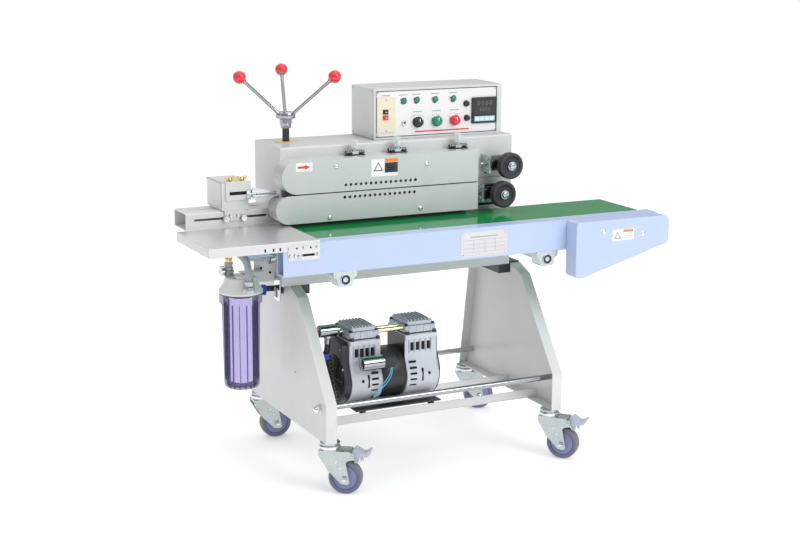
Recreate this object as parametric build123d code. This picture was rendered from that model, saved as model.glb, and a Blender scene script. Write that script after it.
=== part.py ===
from build123d import *
import os
from math import cos, radians, sin, tan

# Continuous band sealer on a wheeled stand, in millimetres.
# Design frame: +X along the conveyor's travel, +Y to the back, +Z up, floor at z = FLOOR,
# X = 0 and Y = 0 at the middle of the stand. ROW_SHIFT moves all of it to the finished frame.

FLOOR = 14.0
ROW_SHIFT = (14.5, 36.5, -FLOOR)

# Stand
PANEL_X = 360.0
SHEET = 3.0
FLANGE = 31.0
STAND_BOTTOM = 153.0
STAND_TOP = 530.0
ROD_R = 8.0
FRONT_ROD = (-232.0, 240.0)
REAR_ROD = (233.0, 205.0)
TRAY_Y = (-133.0, 25.0)
TRAY_SIDE = 25.0

# Casters
SWIVEL_X = 338.0
SWIVEL_Y = 248.0
TRAIL = 42.0
WHEEL_R = 45.0
WHEEL_W = 30.0
AXLE_Z = FLOOR + WHEEL_R
AXLE_R = 4.0
PEDAL_PIN = (62.0, 121.0)
KINGPIN_R = 5.0
RUN_GAP = 0.05

# Tall casing
CASE_X = (-385.0, 319.0)
CASE_Y = (-38.0, 147.0)
CASE_Z = (STAND_TOP, 905.0)
SLOT_HALF = 12.5

# Control box
BOX_X = (-96.0, 303.0)
BOX_Y = (-4.0, 143.0)
BOX_Z = (905.0, 1045.0)
PANEL_WIN_X = (-90.0, 288.0)
PANEL_WIN_Z = (911.0, 1038.0)
FACE_Y = -2.0
LAMPS = ((-6.0, 1009.0), (34.0, 1010.0), (91.0, 1009.0), (148.0, 1009.0))
FUSES = ((190.0, 993.0), (192.0, 953.0))
SELECTORS = ((37.0, 949.0), (96.0, 949.0), (153.0, 949.0))
TOGGLE = (-5.0, 948.0)
BUTTON_X = -62.0
BUTTON_Z = (981.0, 965.0)
BUTTON_SIZE = (13.0, 11.0)

# Sealing head
HEAD_Y = (-98.0, -38.0)
UPPER_COVER = (-406.0, 179.0, 788.0, 877.0)
LOWER_COVER = (-423.0, 179.0, 710.0, 785.0)
HOLE_PITCH = 14.8
HOLE_COUNT = 15
BAND_R = 35.0
BAND_T = 1.0
BAND_Y = (-78.0, -63.0)
UPPER_AXIS_Z = 787.6 + BAND_R
LOWER_AXIS_Z = 785.4 - BAND_R
PULLEY_X = (-352.0, 130.0)
SHAFT_R = 6.0
PRESS_WHEELS = (("upper", 273.0, 827.0), ("lower", 252.0, 748.0))
PRESS_R = 37.0
PRESS_Y = (-122.5, -97.5)
PRESS_ARM_Y = -64.0
ADJUSTER_X = (-180.0, -53.0, 134.0)
ADJUSTER_Y = -60.0

# Capstan and lift
CAPSTAN = (-327.0, 65.0)
STEM_R = 9.5
SPOKE_AZIMUTHS = (-48.0, 72.0, 192.0)
BALL_REACH = 145.0
BALL_Z = 1087.0
HUB_Z = 978.0
BALL_R = 17.3
GUIDE_X = (-225.0, 235.0)
GUIDE_R = 8.0
ARM_X = (-314.0, 287.0)
ARM_Z = 596.0
ARM_R = 11.0

# Conveyor
RAIL_Y = (-294.0, -41.0)
RAIL_X = (-483.0, 640.0)
RAIL_Z = (617.0, 700.0)
REAR_RAIL_TOP = 690.0
RAIL_FLANGE = 44.0
BELT_Y = (-249.0, -47.0)
BELT_T = 2.0
BELT_TOP = 698.0
ROLLER_R = 25.0
ROLLER_X = (-450.0, 613.0)
ROLLER_Z = BELT_TOP - BELT_T - ROLLER_R
MOTOR_COVER_Y = -349.0

# Infeed table
TABLE_X = (-679.0, -384.0)
TABLE_Y = (-296.0, -50.0)
TABLE_TOP = 706.0
TABLE_LIP = 24.0
TABLE_BOLTS = ((-464, 670, 5), (-389, 670, 5), (-449, 669, 7), (-468, 689, 4), (-428, 689, 4), (-392, 689, 4))

# Nozzle rail and carriage
NRAIL_X = (-645.0, -385.0)
NRAIL_Y = (-25.0, 69.0)
NRAIL_Z = (700.0, 746.0)
SADDLE_X = (-549.0, -472.0)

# Pump
PUMP_Y = -54.0
PUMP_AXIS_Z = 265.0
PUMP_R = 75.0
PUMP_BLOCKS = ((-219.0, -125.0), (-51.0, 49.0))
PUMP_FRONT = -110.0
PUMP_BACK = 2.0

# Filter
FILTER = (-503.0, -40.0)
CAP_R = 59.0
BOWL_R = 49.0
FILTER_Z = (270.0, 528.0, 570.0)

os.makedirs("parts", exist_ok=True)


def block(x, y, z):
    size = (x[1] - x[0], y[1] - y[0], z[1] - z[0])
    middle = ((x[0] + x[1]) / 2, (y[0] + y[1]) / 2, (z[0] + z[1]) / 2)
    return Pos(*middle) * Box(*size)


def rod_x(r, x, y, z):
    return Pos((x[0] + x[1]) / 2, y, z) * Rot(0, 90, 0) * Cylinder(r, x[1] - x[0])


def rod_y(r, x, y, z):
    return Pos(x, (y[0] + y[1]) / 2, z) * Rot(90, 0, 0) * Cylinder(r, y[1] - y[0])


def rod_z(r, x, y, z):
    return Pos(x, y, (z[0] + z[1]) / 2) * Cylinder(r, z[1] - z[0])


def face_xz(points):
    # Plane.XZ looks along -Y, so its normal points to the front.
    return Plane.XZ * make_face(Polyline(*points, close=True))


def prism_xz(points, y):
    return Pos(0, y[1], 0) * extrude(face_xz(points), y[1] - y[0])


def hexagon_x(across, x, y, z):
    prism = extrude(RegularPolygon(across / 2, 6, major_radius=False), x[1] - x[0])
    return Pos(x[0], y, z) * Rot(0, 90, 0) * prism


def hexagon_y(across, x, y, z):
    prism = extrude(RegularPolygon(across / 2, 6, major_radius=False), y[1] - y[0])
    return Pos(x, y[1], z) * Rot(90, 0, 0) * prism


def hexagon_z(across, x, y, z):
    prism = extrude(RegularPolygon(across / 2, 6, major_radius=False), z[1] - z[0])
    return Pos(x, y, z[0]) * prism


def ball(r, x, y, z):
    return Pos(x, y, z) * Sphere(r)


def solids_of(*shapes):
    found = []
    for shape in shapes:
        found.extend(shape.solids())
    return found


def write(name, *shapes):
    pieces = [Pos(*ROW_SHIFT) * solid for solid in solids_of(*shapes)]
    body = pieces[0] if len(pieces) == 1 else Compound(children=pieces)
    export_step(body, f"parts/{name}.step")


def polar(x, y, radius, azimuth):
    return (x + radius * cos(radians(azimuth)), y + radius * sin(radians(azimuth)))


# ---------------------------------------------------------------- stand

PANEL_OUTLINE = ((-273, 153), (271, 153), (209, 530), (-30, 530), (-87, 508), (-273, 258))


def stand_panel(side):
    outer = make_face(Polyline(*PANEL_OUTLINE, close=True))
    inner = offset(outer, -SHEET, kind=Kind.INTERSECTION)
    pan = extrude(Plane.YZ * outer, FLANGE)
    pan -= Pos(SHEET, 0, 0) * extrude(Plane.YZ * inner, FLANGE)
    for y, z in (FRONT_ROD, REAR_ROD):
        pan -= rod_x(ROD_R, (-1, SHEET + 1), y, z)
    if side > 0:
        for y, z in ((38, 491), (68, 492)):
            pan -= rod_x(4, (-1, SHEET + 1), y, z)
        pan = mirror(pan, Plane.YZ)
        return Pos(PANEL_X, 0, 0) * pan
    pan -= rod_x(13, (-1, SHEET + 1), 22, 506)
    return Pos(-PANEL_X, 0, 0) * pan


def tie_rod(y, z):
    rod = rod_x(ROD_R, (-PANEL_X, PANEL_X), y, z)
    for end in (-1, 1):
        nut_x = sorted((end * PANEL_X, end * (PANEL_X + 9)))
        dome_x = end * (PANEL_X + 9)
        rod += hexagon_x(22, nut_x, y, z)
        rod += ball(9, dome_x, y, z)
    return rod


def tray_bar(y):
    span = (-PANEL_X + SHEET, PANEL_X - SHEET)
    low = STAND_BOTTOM + SHEET
    bar = block(span, (y - TRAY_SIDE / 2, y + TRAY_SIDE / 2), (low, low + SHEET))
    return bar + block(span, (y - TRAY_SIDE / 2, y - TRAY_SIDE / 2 + SHEET), (low, low + TRAY_SIDE))


def body_brackets():
    inner = PANEL_X - FLANGE
    left = block((-inner, -inner + 29), (-30, 140), (502, STAND_TOP))
    right = block((inner - 39, inner), (-30, 140), (502, STAND_TOP))
    foot = block((CASE_X[1], 357), (-30, 140), (STAND_TOP, STAND_TOP + 4))
    riser = block((CASE_X[1], CASE_X[1] + 4), (-30, 140), (STAND_TOP + 4, 600))
    return left, right, foot + riser


# ---------------------------------------------------------------- casters

# Side of the stand, side of the operator, and the yaw that each caster has come to rest at
CASTERS = {
    "front_left": (-1, -1, -35.0),
    "front_right": (1, -1, -50.0),
    "rear_left": (-1, 1, -5.0),
    "rear_right": (1, 1, -20.0),
}
FORK_LEG = ((-27, 134), (-27, 121), (-2, 80), (33, 45), (50, 43), (56, 49), (46, 103), (50, 109), (58, 134))
FORK_HORN = ((48, 105), (52, 109), (66, 112), (68, 116), (68, 128), (66, 131), (56, 131))
PEDAL = (
    (59.5, 114), (59.5, 127), (62, 135), (70, 142), (79, 137), (90, 130), (99, 131),
    (108, 139), (112, 137), (110, 128), (103, 120), (88, 117), (74, 114),
)


def at_caster(place, shape):
    side_x, side_y, yaw = CASTERS[place]
    return Pos(side_x * SWIVEL_X, side_y * SWIVEL_Y, 0) * Rot(0, 0, yaw) * shape


def caster_plate():
    plate = rod_z(27, 0, 0, (147, STAND_BOTTOM))
    plate += rod_z(KINGPIN_R, 0, 0, (124, 147))
    return plate + hexagon_z(14, 0, 0, (122, 127))


def caster_fork(with_pedal):
    fork = rod_z(27, 0, 0, (134, 146.5))
    fork = fillet(fork.edges().group_by(Axis.Z)[-1], 4)
    fork += block((-27, 58), (-24, 24), (128, 134))
    for side in (-1, 1):
        leg_y = sorted((side * 21, side * 24))
        fork += prism_xz(FORK_LEG, leg_y)
        if with_pedal:
            fork += prism_xz(FORK_HORN, leg_y)
    fork += rod_y(AXLE_R, TRAIL, (-30, 30), AXLE_Z)
    for side in (-1, 1):
        fork += hexagon_y(13, TRAIL, sorted((side * 24, side * 30)), AXLE_Z)
    if with_pedal:
        fork += rod_y(3, PEDAL_PIN[0], (-25, 25), PEDAL_PIN[1])
    return fork - rod_z(KINGPIN_R + RUN_GAP, 0, 0, (127, 150))


def caster_wheel():
    wide = (-WHEEL_W / 2, WHEEL_W / 2)
    tread = rod_y(WHEEL_R, TRAIL, wide, AXLE_Z)
    tread = fillet(tread.edges().filter_by(GeomType.CIRCLE), 5)
    for side in (-1, 1):
        tread -= rod_y(33, TRAIL, sorted((side * 11, side * 16)), AXLE_Z)
    tread += rod_y(12, TRAIL, (-18, 18), AXLE_Z)
    return tread - rod_y(AXLE_R + RUN_GAP, TRAIL, (-20, 20), AXLE_Z)


def brake_pedal():
    plate = prism_xz(PEDAL, (-15, 15))
    plate += block((66, 76), (-9, 9), (99.1, 120))
    plate += rod_z(3, 86, 0, (106, 120)) + hexagon_z(8, 86, 0, (106, 110))
    return plate - rod_y(3 + RUN_GAP, PEDAL_PIN[0], (-20, 20), PEDAL_PIN[1])


# ---------------------------------------------------------------- casing

def shell(x, y, z, wall, radius):
    outer = block(x, y, z)
    outer = fillet(outer.edges().filter_by(Axis.X).group_by(Axis.Z)[-1], radius)
    return outer - block((x[0] + wall, x[1] - wall), (y[0] + wall, y[1] + 1), (z[0] + wall, z[1] - wall))


def casing():
    body = shell(CASE_X, CASE_Y, CASE_Z, SHEET, 5)
    for x in ARM_X:
        body -= block((x - SLOT_HALF, x + SLOT_HALF), (-40, -34), (554, 609))
    for x in PULLEY_X:
        for z in (UPPER_AXIS_Z, LOWER_AXIS_Z):
            body -= rod_y(12, x, (-40, -30), z)
    body -= rod_z(STEM_R + 1.5, *CAPSTAN, (900, 906))
    rods = [rod_z(GUIDE_R, x, CAPSTAN[1], (533, 702)) for x in GUIDE_X]
    bearings = []
    for x in PULLEY_X:
        for z in (UPPER_AXIS_Z, LOWER_AXIS_Z):
            ring = rod_y(12, x, (-41, -30), z) + rod_y(16, x, (-42, -38), z)
            bearings.append(ring - rod_y(SHAFT_R + RUN_GAP, x, (-45, -25), z))
    shelf = block((GUIDE_X[0] - 15, GUIDE_X[1] + 15), (-35, CAPSTAN[1] + 15), (702, 706))
    collar = rod_z(29, *CAPSTAN, (905, 907)) - rod_z(STEM_R + 1.5, *CAPSTAN, (900, 910))
    return [body, shelf, collar] + rods + bearings


def rear_cover():
    x = (CASE_X[0] + SHEET, CASE_X[1] - SHEET)
    z = (CASE_Z[0] + SHEET, CASE_Z[1] - SHEET)
    cover = block(x, (CASE_Y[1] - SHEET, CASE_Y[1]), z)
    for column in (-200, 130):
        for row in range(7):
            low = 640 + 16 * row
            cover -= block((column - 45, column + 45), (140, 150), (low, low + 5))
    return cover


def seal_motor():
    gearbox = block((PULLEY_X[1] - 35, PULLEY_X[1] + 45), (-12, 55), (LOWER_AXIS_Z - 35, LOWER_AXIS_Z + 35))
    motor = rod_y(42, PULLEY_X[1] + 5, (55, 140), LOWER_AXIS_Z + 10)
    bore = rod_y(SHAFT_R + RUN_GAP, PULLEY_X[1], (-20, 10), LOWER_AXIS_Z)
    feet = block((PULLEY_X[1] + 20, PULLEY_X[1] + 45), (-35, -12), (LOWER_AXIS_Z - 35, LOWER_AXIS_Z - 20))
    return gearbox + motor + feet - bore


# ---------------------------------------------------------------- control box

def control_box():
    outer = block(BOX_X, BOX_Y, BOX_Z)
    outer = fillet(outer.edges().filter_by(Axis.Y), 4)
    inner = block((BOX_X[0] + 2, BOX_X[1] - 2), (0, BOX_Y[1] - 2), (BOX_Z[0] + 2, BOX_Z[1] - 2))
    window = block(PANEL_WIN_X, (-10, 1), PANEL_WIN_Z)
    return outer - inner - window


def control_panel():
    plate = block(PANEL_WIN_X, (FACE_Y, 0), PANEL_WIN_Z)
    for z in BUTTON_Z:
        plate -= button_hole(z)
    plate -= rod_y(5, TOGGLE[0], (-3, 1), TOGGLE[1])
    for x, z in SELECTORS:
        plate -= rod_y(4, x, (-3, 1), z)
    for x, z in FUSES:
        plate += rod_y(7.5, x, (-11, FACE_Y), z)
    breaker = block((-88, -32), (-7, FACE_Y), (924, 1020))
    for z in BUTTON_Z:
        breaker -= button_hole(z)
    bush = rod_y(6, TOGGLE[0], (-8, FACE_Y), TOGGLE[1]) - rod_y(4, TOGGLE[0], (-9, 1), TOGGLE[1])
    controller = block((207, 286), (-9, FACE_Y), (936, 1009))
    lamps = [rod_y(8.5, x, (-8, FACE_Y), z) for x, z in LAMPS]
    return [plate, breaker, bush, controller] + lamps


def button_hole(z):
    half_x = BUTTON_SIZE[0] / 2 + 0.4
    half_z = BUTTON_SIZE[1] / 2 + 0.4
    return block((BUTTON_X - half_x, BUTTON_X + half_x), (-20, 1), (z - half_z, z + half_z))


def push_button(z):
    half_x = BUTTON_SIZE[0] / 2
    half_z = BUTTON_SIZE[1] / 2
    return block((BUTTON_X - half_x, BUTTON_X + half_x), (-11, 2), (z - half_z, z + half_z))


def selector(x, z):
    knob = rod_y(13.5, x, (-9, -3), z)
    knob += rod_y(11, x, (-20, -9), z)
    knob += block((x - 1, x + 1), (-21, -9), (z, z + 10.5))
    return knob + rod_y(3, x, (-3, 8), z)


def toggle_lever():
    lever = rod_y(1.5, 0, (-14, 4), 0) + Pos(0, -14, 0) * Sphere(2.6)
    return Pos(TOGGLE[0], FACE_Y, TOGGLE[1]) * Rot(12, 0, 0) * lever


# ---------------------------------------------------------------- sealing head

def cover(bounds, hole_x, hole_z, open_side):
    x0, x1, z0, z1 = bounds
    radius = (z1 - z0) / 2
    axis = (z0 + z1) / 2

    def pan(wall):
        left = rod_y(radius - wall, x0 + radius, HEAD_Y, axis)
        return left + block((x0 + radius, x1 - wall), HEAD_Y, (z0 + wall, z1 - wall))

    solid = pan(0)
    cavity = Pos(0, 2, 0) * pan(2)
    solid -= cavity
    slot_z = (z0 - 1, z0 + 4) if open_side < 0 else (z1 - 4, z1 + 1)
    solid -= block((x0 + radius - 14, x1 - 2), (HEAD_Y[0] + 2, HEAD_Y[1] + 1), slot_z)
    for index in range(HOLE_COUNT):
        solid -= rod_y(4.2, hole_x + index * HOLE_PITCH, (-100, -90), hole_z)
    return solid


def band(axis_z):
    def loop(radius, y):
        x0, x1 = PULLEY_X
        middle = block((x0, x1), y, (axis_z - radius, axis_z + radius))
        return middle + rod_y(radius, x0, y, axis_z) + rod_y(radius, x1, y, axis_z)

    wide = (BAND_Y[0] - 5, BAND_Y[1] + 5)
    return loop(BAND_R + BAND_T, BAND_Y) - loop(BAND_R, wide)


def band_pulley(x, axis_z, driven):
    wheel = rod_y(BAND_R - 0.05, x, (BAND_Y[0] - 1, BAND_Y[1] + 1), axis_z)
    for side in (BAND_Y[0] - 1, BAND_Y[1] - 3):
        wheel -= rod_y(28, x, (side, side + 5), axis_z) - rod_y(12, x, (side, side + 5), axis_z)
    wheel += rod_y(12, x, (BAND_Y[1] + 1, -43), axis_z)
    end = 5 if driven else -22
    return wheel + rod_y(SHAFT_R, x, (-86, end), axis_z)


def heating_blocks():
    made = []
    for span in ((-215, -20), (10, 80)):
        upper = block(span, BAND_Y, (788.0, 812))
        lower = block(span, BAND_Y, (761, 785.0))
        for x in (span[0] + 12, span[1] - 12):
            upper += rod_y(4, x, (BAND_Y[1], -38), 800)
            lower += rod_y(4, x, (BAND_Y[1], -38), 773)
        made += [upper, lower]
    return made


def press_arm(name, x, z):
    axis_z = z + 3
    arm = rod_x(22, (x - 46, x + 14), PRESS_ARM_Y, axis_z)
    arm += block((x - 52, x - 46), (PRESS_ARM_Y - 22, CASE_Y[0]), (axis_z - 24, axis_z + 24))
    arm += rod_x(4, (x - 68, x - 52), PRESS_ARM_Y, axis_z)
    arm += rod_y(5, x, (-125, PRESS_ARM_Y), z)
    return arm + hexagon_y(18, x, (-130, -123), z)


def press_wheel(x, z):
    wheel = rod_y(PRESS_R, x, PRESS_Y, z)
    wheel = fillet(wheel.edges().filter_by(GeomType.CIRCLE), 3)
    wheel -= rod_y(27, x, (PRESS_Y[0], PRESS_Y[0] + 5), z) - rod_y(15, x, (PRESS_Y[0], PRESS_Y[0] + 5), z)
    return wheel - rod_y(5 + RUN_GAP, x, (-130, -90), z)


def adjuster_base(x):
    base = block((x - 22, x + 22), (ADJUSTER_Y - 12, ADJUSTER_Y + 12), (877, 889))
    base -= block((x - 16, x - 9), (ADJUSTER_Y - 13, ADJUSTER_Y + 13), (881, 890))
    base -= block((x + 9, x + 16), (ADJUSTER_Y - 13, ADJUSTER_Y + 13), (881, 890))
    base += rod_z(8, x, ADJUSTER_Y, (889, 893))
    return base - rod_z(3 + RUN_GAP, x, ADJUSTER_Y, (880, 895))


def pressure_knob(x):
    knob = rod_z(11.5, x, ADJUSTER_Y, (894, 920))
    for index in range(6):
        knob -= rod_z(2, *polar(x, ADJUSTER_Y, 12, 60 * index), (890, 921))
    return knob + rod_z(3, x, ADJUSTER_Y, (881, 894))


# ---------------------------------------------------------------- capstan and lift

def capstan_handle():
    x, y = CAPSTAN
    stem = rod_z(STEM_R, x, y, (560, 944))
    neck = rod_z(17, x, y, (944, 970))
    hub = rod_z(27, x, y, (970, 985))
    spokes = []
    balls = []
    for azimuth in SPOKE_AZIMUTHS:
        px, py = polar(x, y, 14, azimuth)
        qx, qy = polar(x, y, BALL_REACH, azimuth)
        start = Vector(px, py, HUB_Z)
        end = Vector(qx, qy, BALL_Z)
        length = (end - start).length
        sphere = ball(BALL_R, qx, qy, BALL_Z)
        along = Plane(origin=start, z_dir=(end - start).normalized())
        spoke = along * Pos(0, 0, length / 2) * Cylinder(4.5, length)
        spokes.append(spoke - hub - neck - sphere)
        balls.append(sphere)
    return [stem, neck, hub] + spokes + balls


def lift_carrier():
    y = CAPSTAN[1]
    beam = block((-350, 300), (y - 20, y + 20), (581, 611))
    beam -= rod_z(STEM_R + RUN_GAP, *CAPSTAN, (570, 620))
    for x in GUIDE_X:
        beam -= rod_z(GUIDE_R + RUN_GAP, x, y, (570, 620))
    for x in ARM_X:
        beam += rod_y(ARM_R, x, (-296, y - 20), ARM_Z)
    return beam


# ---------------------------------------------------------------- conveyor

def bearing_block(x, y):
    outline = ((x - 33, 617), (x + 33, 617), (x + 22, 604), (x + 18, 578), (x - 18, 578), (x - 22, 604))
    body = prism_xz(outline, y)
    return body - rod_y(ARM_R, x, (y[0] - 1, y[1] + 1), ARM_Z)


def front_rail():
    y0 = RAIL_Y[0]
    rail = block(RAIL_X, (y0, y0 + SHEET), RAIL_Z)
    rail += block(RAIL_X, (y0, y0 + RAIL_FLANGE), (RAIL_Z[1] - SHEET, RAIL_Z[1]))
    rail += block(RAIL_X, (y0, y0 + RAIL_FLANGE), (RAIL_Z[0], RAIL_Z[0] + SHEET))
    rail += block(RAIL_X, (y0 + RAIL_FLANGE - SHEET, y0 + RAIL_FLANGE), RAIL_Z)
    for x in ROLLER_X:
        rail -= rod_y(8 + RUN_GAP, x, (y0 + 20, y0 + 50), ROLLER_Z)
    return rail


def rear_rail():
    rail = block(RAIL_X, (RAIL_Y[1] - 4, RAIL_Y[1]), (RAIL_Z[0], REAR_RAIL_TOP))
    for x in ROLLER_X:
        rail -= rod_y(8 + RUN_GAP, x, (RAIL_Y[1] - 5, RAIL_Y[1] + 1), ROLLER_Z)
    return rail


def conveyor_frame():
    inner = (RAIL_Y[0] + RAIL_FLANGE, RAIL_Y[1] - 4)
    bars = [block((x - 15, x + 15), inner, (662, 680)) for x in (-380, -100, 180, 460)]
    bed = block((-415, 580), (BELT_Y[0] + 1, BELT_Y[1] - 1), (692.5, 695.5))
    legs = []
    for x in (-380, -100, 180, 460):
        legs.append(block((x - 15, x + 15), (-150, -146), (680, 692.5)))
    blocks = [bearing_block(x, (RAIL_Y[0], RAIL_Y[0] + RAIL_FLANGE)) for x in ARM_X]
    blocks += [bearing_block(x, (-70, RAIL_Y[1])) for x in ARM_X]
    return [front_rail(), rear_rail(), bed, lift_carrier()] + bars + legs + blocks


def conveyor_belt():
    def loop(radius, y):
        x0, x1 = ROLLER_X
        middle = block((x0, x1), y, (ROLLER_Z - radius, ROLLER_Z + radius))
        return middle + rod_y(radius, x0, y, ROLLER_Z) + rod_y(radius, x1, y, ROLLER_Z)

    wide = (BELT_Y[0] - 5, BELT_Y[1] + 5)
    return loop(ROLLER_R + BELT_T, BELT_Y) - loop(ROLLER_R, wide)


def belt_roller(x):
    roller = rod_y(ROLLER_R - 0.05, x, (BELT_Y[0], BELT_Y[1]), ROLLER_Z)
    return roller + rod_y(8, x, (BELT_Y[0] - 4, RAIL_Y[1] - 0.5), ROLLER_Z)


def motor_cover():
    outline = ((346, 700), (640, 700), (650, 690), (650, 622), (370, 544), (346, 552))
    outer = prism_xz(outline, (MOTOR_COVER_Y, RAIL_Y[0]))
    inner = ((348.5, 697.5), (639, 697.5), (647.5, 689), (647.5, 624), (370, 546.6), (348.5, 554))
    return outer - prism_xz(inner, (MOTOR_COVER_Y + 2.5, RAIL_Y[0] + 1))


def conveyor_motor():
    gearbox = block((372, 442), (RAIL_Y[0] - 40, RAIL_Y[0]), (622, 692))
    sprocket = rod_y(22, 613, (RAIL_Y[0] - 22, RAIL_Y[0] - 12), ROLLER_Z - 12)
    post = rod_y(7, 613, (RAIL_Y[0] - 12, RAIL_Y[0]), ROLLER_Z - 12)
    motor = rod_y(30, 407, (RAIL_Y[0] - 50, RAIL_Y[0] - 40), 657)
    return [gearbox + motor, sprocket + post]


def infeed_table():
    x0, x1 = TABLE_X
    y0, y1 = TABLE_Y
    sheet = block(TABLE_X, TABLE_Y, (TABLE_TOP - 2, TABLE_TOP))
    low = TABLE_TOP - TABLE_LIP
    sheet += block(TABLE_X, (y0, y0 + 2), (low, TABLE_TOP))
    sheet += block((x0, x0 + 2), TABLE_Y, (low, TABLE_TOP))
    sheet += block((x0, RAIL_X[0] - 2), (y1 - 2, y1), (low, TABLE_TOP))
    tab = block((-471, x1), (y0, y0 + 2), (657, low))
    tab -= block((-436, -399), (y0 - 1, y0 + 3), (667, 673))
    sheet += tab
    for x in (-532, -510, -492):
        sheet -= block((x - 2, x + 2), (y0 - 1, y0 + 3), (686, 694))
    pad = block((-478, x1 - 4), (RAIL_Y[0] + 2, RAIL_Y[0] + 42), (RAIL_Z[1], TABLE_TOP - 2))
    bolts = []
    for x, z, r in TABLE_BOLTS:
        bolts.append(rod_y(r, x, (y0 - 4, y0), z))
    return [sheet, pad] + bolts


# ---------------------------------------------------------------- nozzle slide

def nozzle_rail():
    rail = block(NRAIL_X, NRAIL_Y, NRAIL_Z)
    rail = fillet(rail.edges().filter_by(Axis.X), 4)
    rail -= block((-650, -385), (NRAIL_Y[0] + 3, NRAIL_Y[1] - 3), (NRAIL_Z[0] + 3, NRAIL_Z[1] - 3))
    rail -= block((-622, -421), (-30, -20), (724, 730))
    return rail - block((-622, -421), (18, 26), (740, 750))


def nozzle_carriage():
    saddle = block(SADDLE_X, (-29, 79), (NRAIL_Z[1] + 0.5, 822))
    saddle -= block((SADDLE_X[0] - 1, SADDLE_X[1] + 1), (-26.5, 76.5), (740, 819.5))
    saddle += block((SADDLE_X[0], SADDLE_X[0] + 2.5), (-29, 79), (NRAIL_Z[1] + 0.5, 822))
    saddle += block((-540, -480), (-29, -26.5), (718, 747))
    slotted = block((-537, -467), (-33, -29), (773, 823)) - block((-525, -480), (-34, -28), (788, 794))
    made = [saddle, slotted]
    for x in (-537, -488):
        made.append(rod_y(9, x, (-38, -29), 726))
    for x in (-523, -503):
        made.append(hexagon_y(9, x, (-34, -29), 733))
    for x in (-520, -487):
        wing = rod_z(5, x, -18, (822, 830))
        for side in (-1, 1):
            wing += Pos(x + side * 8, -18, 831) * Rot(0, side * 40, 0) * Box(10, 3, 11)
        made.append(wing)
    blades = block((-475, -398), (-78, -33), (785.7, 787.3))
    arm = block((-480, -455), (-36, -33), (780, 798))
    made.append(blades + arm)
    return made


# ---------------------------------------------------------------- pump

def pump_body():
    made = []
    for x in PUMP_BLOCKS:
        case = rod_x(PUMP_R, x, PUMP_Y, PUMP_AXIS_Z)
        case += block(x, (PUMP_FRONT, PUMP_BACK), (PUMP_AXIS_Z, 377))
        case += block(x, (PUMP_Y - 40, PUMP_Y + 40), (190, 215))
        for index in range(4):
            centre = x[0] + 20 + index * (x[1] - x[0] - 40) / 3
            case -= block((centre - 5, centre + 5), (PUMP_FRONT - 1, PUMP_FRONT + 8), (328, 352))
        bore = rod_x(12, (x[0] - 1, x[1] + 1), PUMP_Y, PUMP_AXIS_Z)
        made.append(case - bore)
    stator = rod_x(71, (-125, -51), PUMP_Y, PUMP_AXIS_Z) - rod_x(12, (-130, -50), PUMP_Y, PUMP_AXIS_Z)
    fan_cover = rod_x(74, (-245, -219), PUMP_Y, PUMP_AXIS_Z)
    fan_cover += block((-245, -219), (PUMP_FRONT + 3, PUMP_BACK - 3), (PUMP_AXIS_Z, 372))
    fan_cover -= rod_x(66, (-242, -218), PUMP_Y, PUMP_AXIS_Z)
    for radius in (20, 34, 48, 60):
        ring = rod_x(radius + 3, (-246, -241), PUMP_Y, PUMP_AXIS_Z)
        ring -= rod_x(radius, (-246, -241), PUMP_Y, PUMP_AXIS_Z)
        rib = block((-247, -240), (PUMP_Y - 4, PUMP_Y + 4), (180, 350))
        rib += block((-247, -240), (PUMP_Y - 80, PUMP_Y + 80), (PUMP_AXIS_Z - 4, PUMP_AXIS_Z + 4))
        fan_cover -= ring - rib
    base = block((-215, 45), (-146, 38), (186, 190))
    feet = [rod_z(9, x, y, (159, 186)) for x in (-190, 20) for y in (-133, 25)]
    return made + [stator, fan_cover, base] + feet


def pump_heads():
    made = []
    for x in PUMP_BLOCKS:
        head = block((x[0] + 1, x[1] - 1), (PUMP_FRONT + 1, PUMP_BACK - 1), (378, 402))
        top = block((x[0] + 10, x[1] - 10), (PUMP_FRONT + 10, PUMP_BACK - 10), (402, 416))
        for index in range(5):
            low = x[0] + 18 + index * 14
            top -= block((low, low + 4), (PUMP_FRONT, PUMP_BACK), (408, 420))
        gasket = block(x, (PUMP_FRONT, PUMP_BACK), (377, 378))
        made.append(head + top + gasket)
    return made


def pump_rotor():
    rotor = rod_x(10, (-238, 46), PUMP_Y, PUMP_AXIS_Z)
    rotor += rod_x(18, (-238, -222), PUMP_Y, PUMP_AXIS_Z)
    for index in range(7):
        blade = Pos(0, 0, 38) * Rot(0, 0, 30) * Box(2, 16, 46)
        blade = Pos(-230, PUMP_Y, PUMP_AXIS_Z) * Rot(360 / 7 * index, 0, 0) * blade
        rotor += blade
    return rotor


def pump_fittings():
    tubes = []
    for y in (-88, -62):
        tubes.append(rod_x(6, (PUMP_BLOCKS[0][1] - 1, PUMP_BLOCKS[1][0] + 1), y, 392))
    silencer = rod_x(17, (-290, -232), -60, 400) + rod_x(9, (-232, PUMP_BLOCKS[0][0] + 1), -60, 392)
    elbow = rod_z(9, -262, -60, (365, 392))
    capacitor = rod_x(20, (-200, -134), -146, 320) + rod_x(19, (-134, -100), -146, 320)
    capacitor += block((-180, -165), (-130, PUMP_FRONT), (316, 334))
    return tubes + [silencer + elbow, capacitor]


PUMP_HOSE = (
    (-262, -60, 365),
    (-262, -60, 325),
    (-298, -34, 322),
    (-322, 0, 360),
    (-336, 18, 415),
    (-341, 24, 465),
    (-346, 22, 500),
    (-378, 20, 515),
    (-410, 20, 515),
)
FILTER_HOSE = (
    (-501, -98, 556),
    (-501, -98, 606),
    (-503, -70, 628),
    (-503, -26, 628),
    (-470, -14, 612),
    (-412, -14, 607),
)
LONGEST_BEND = 60.0


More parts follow.
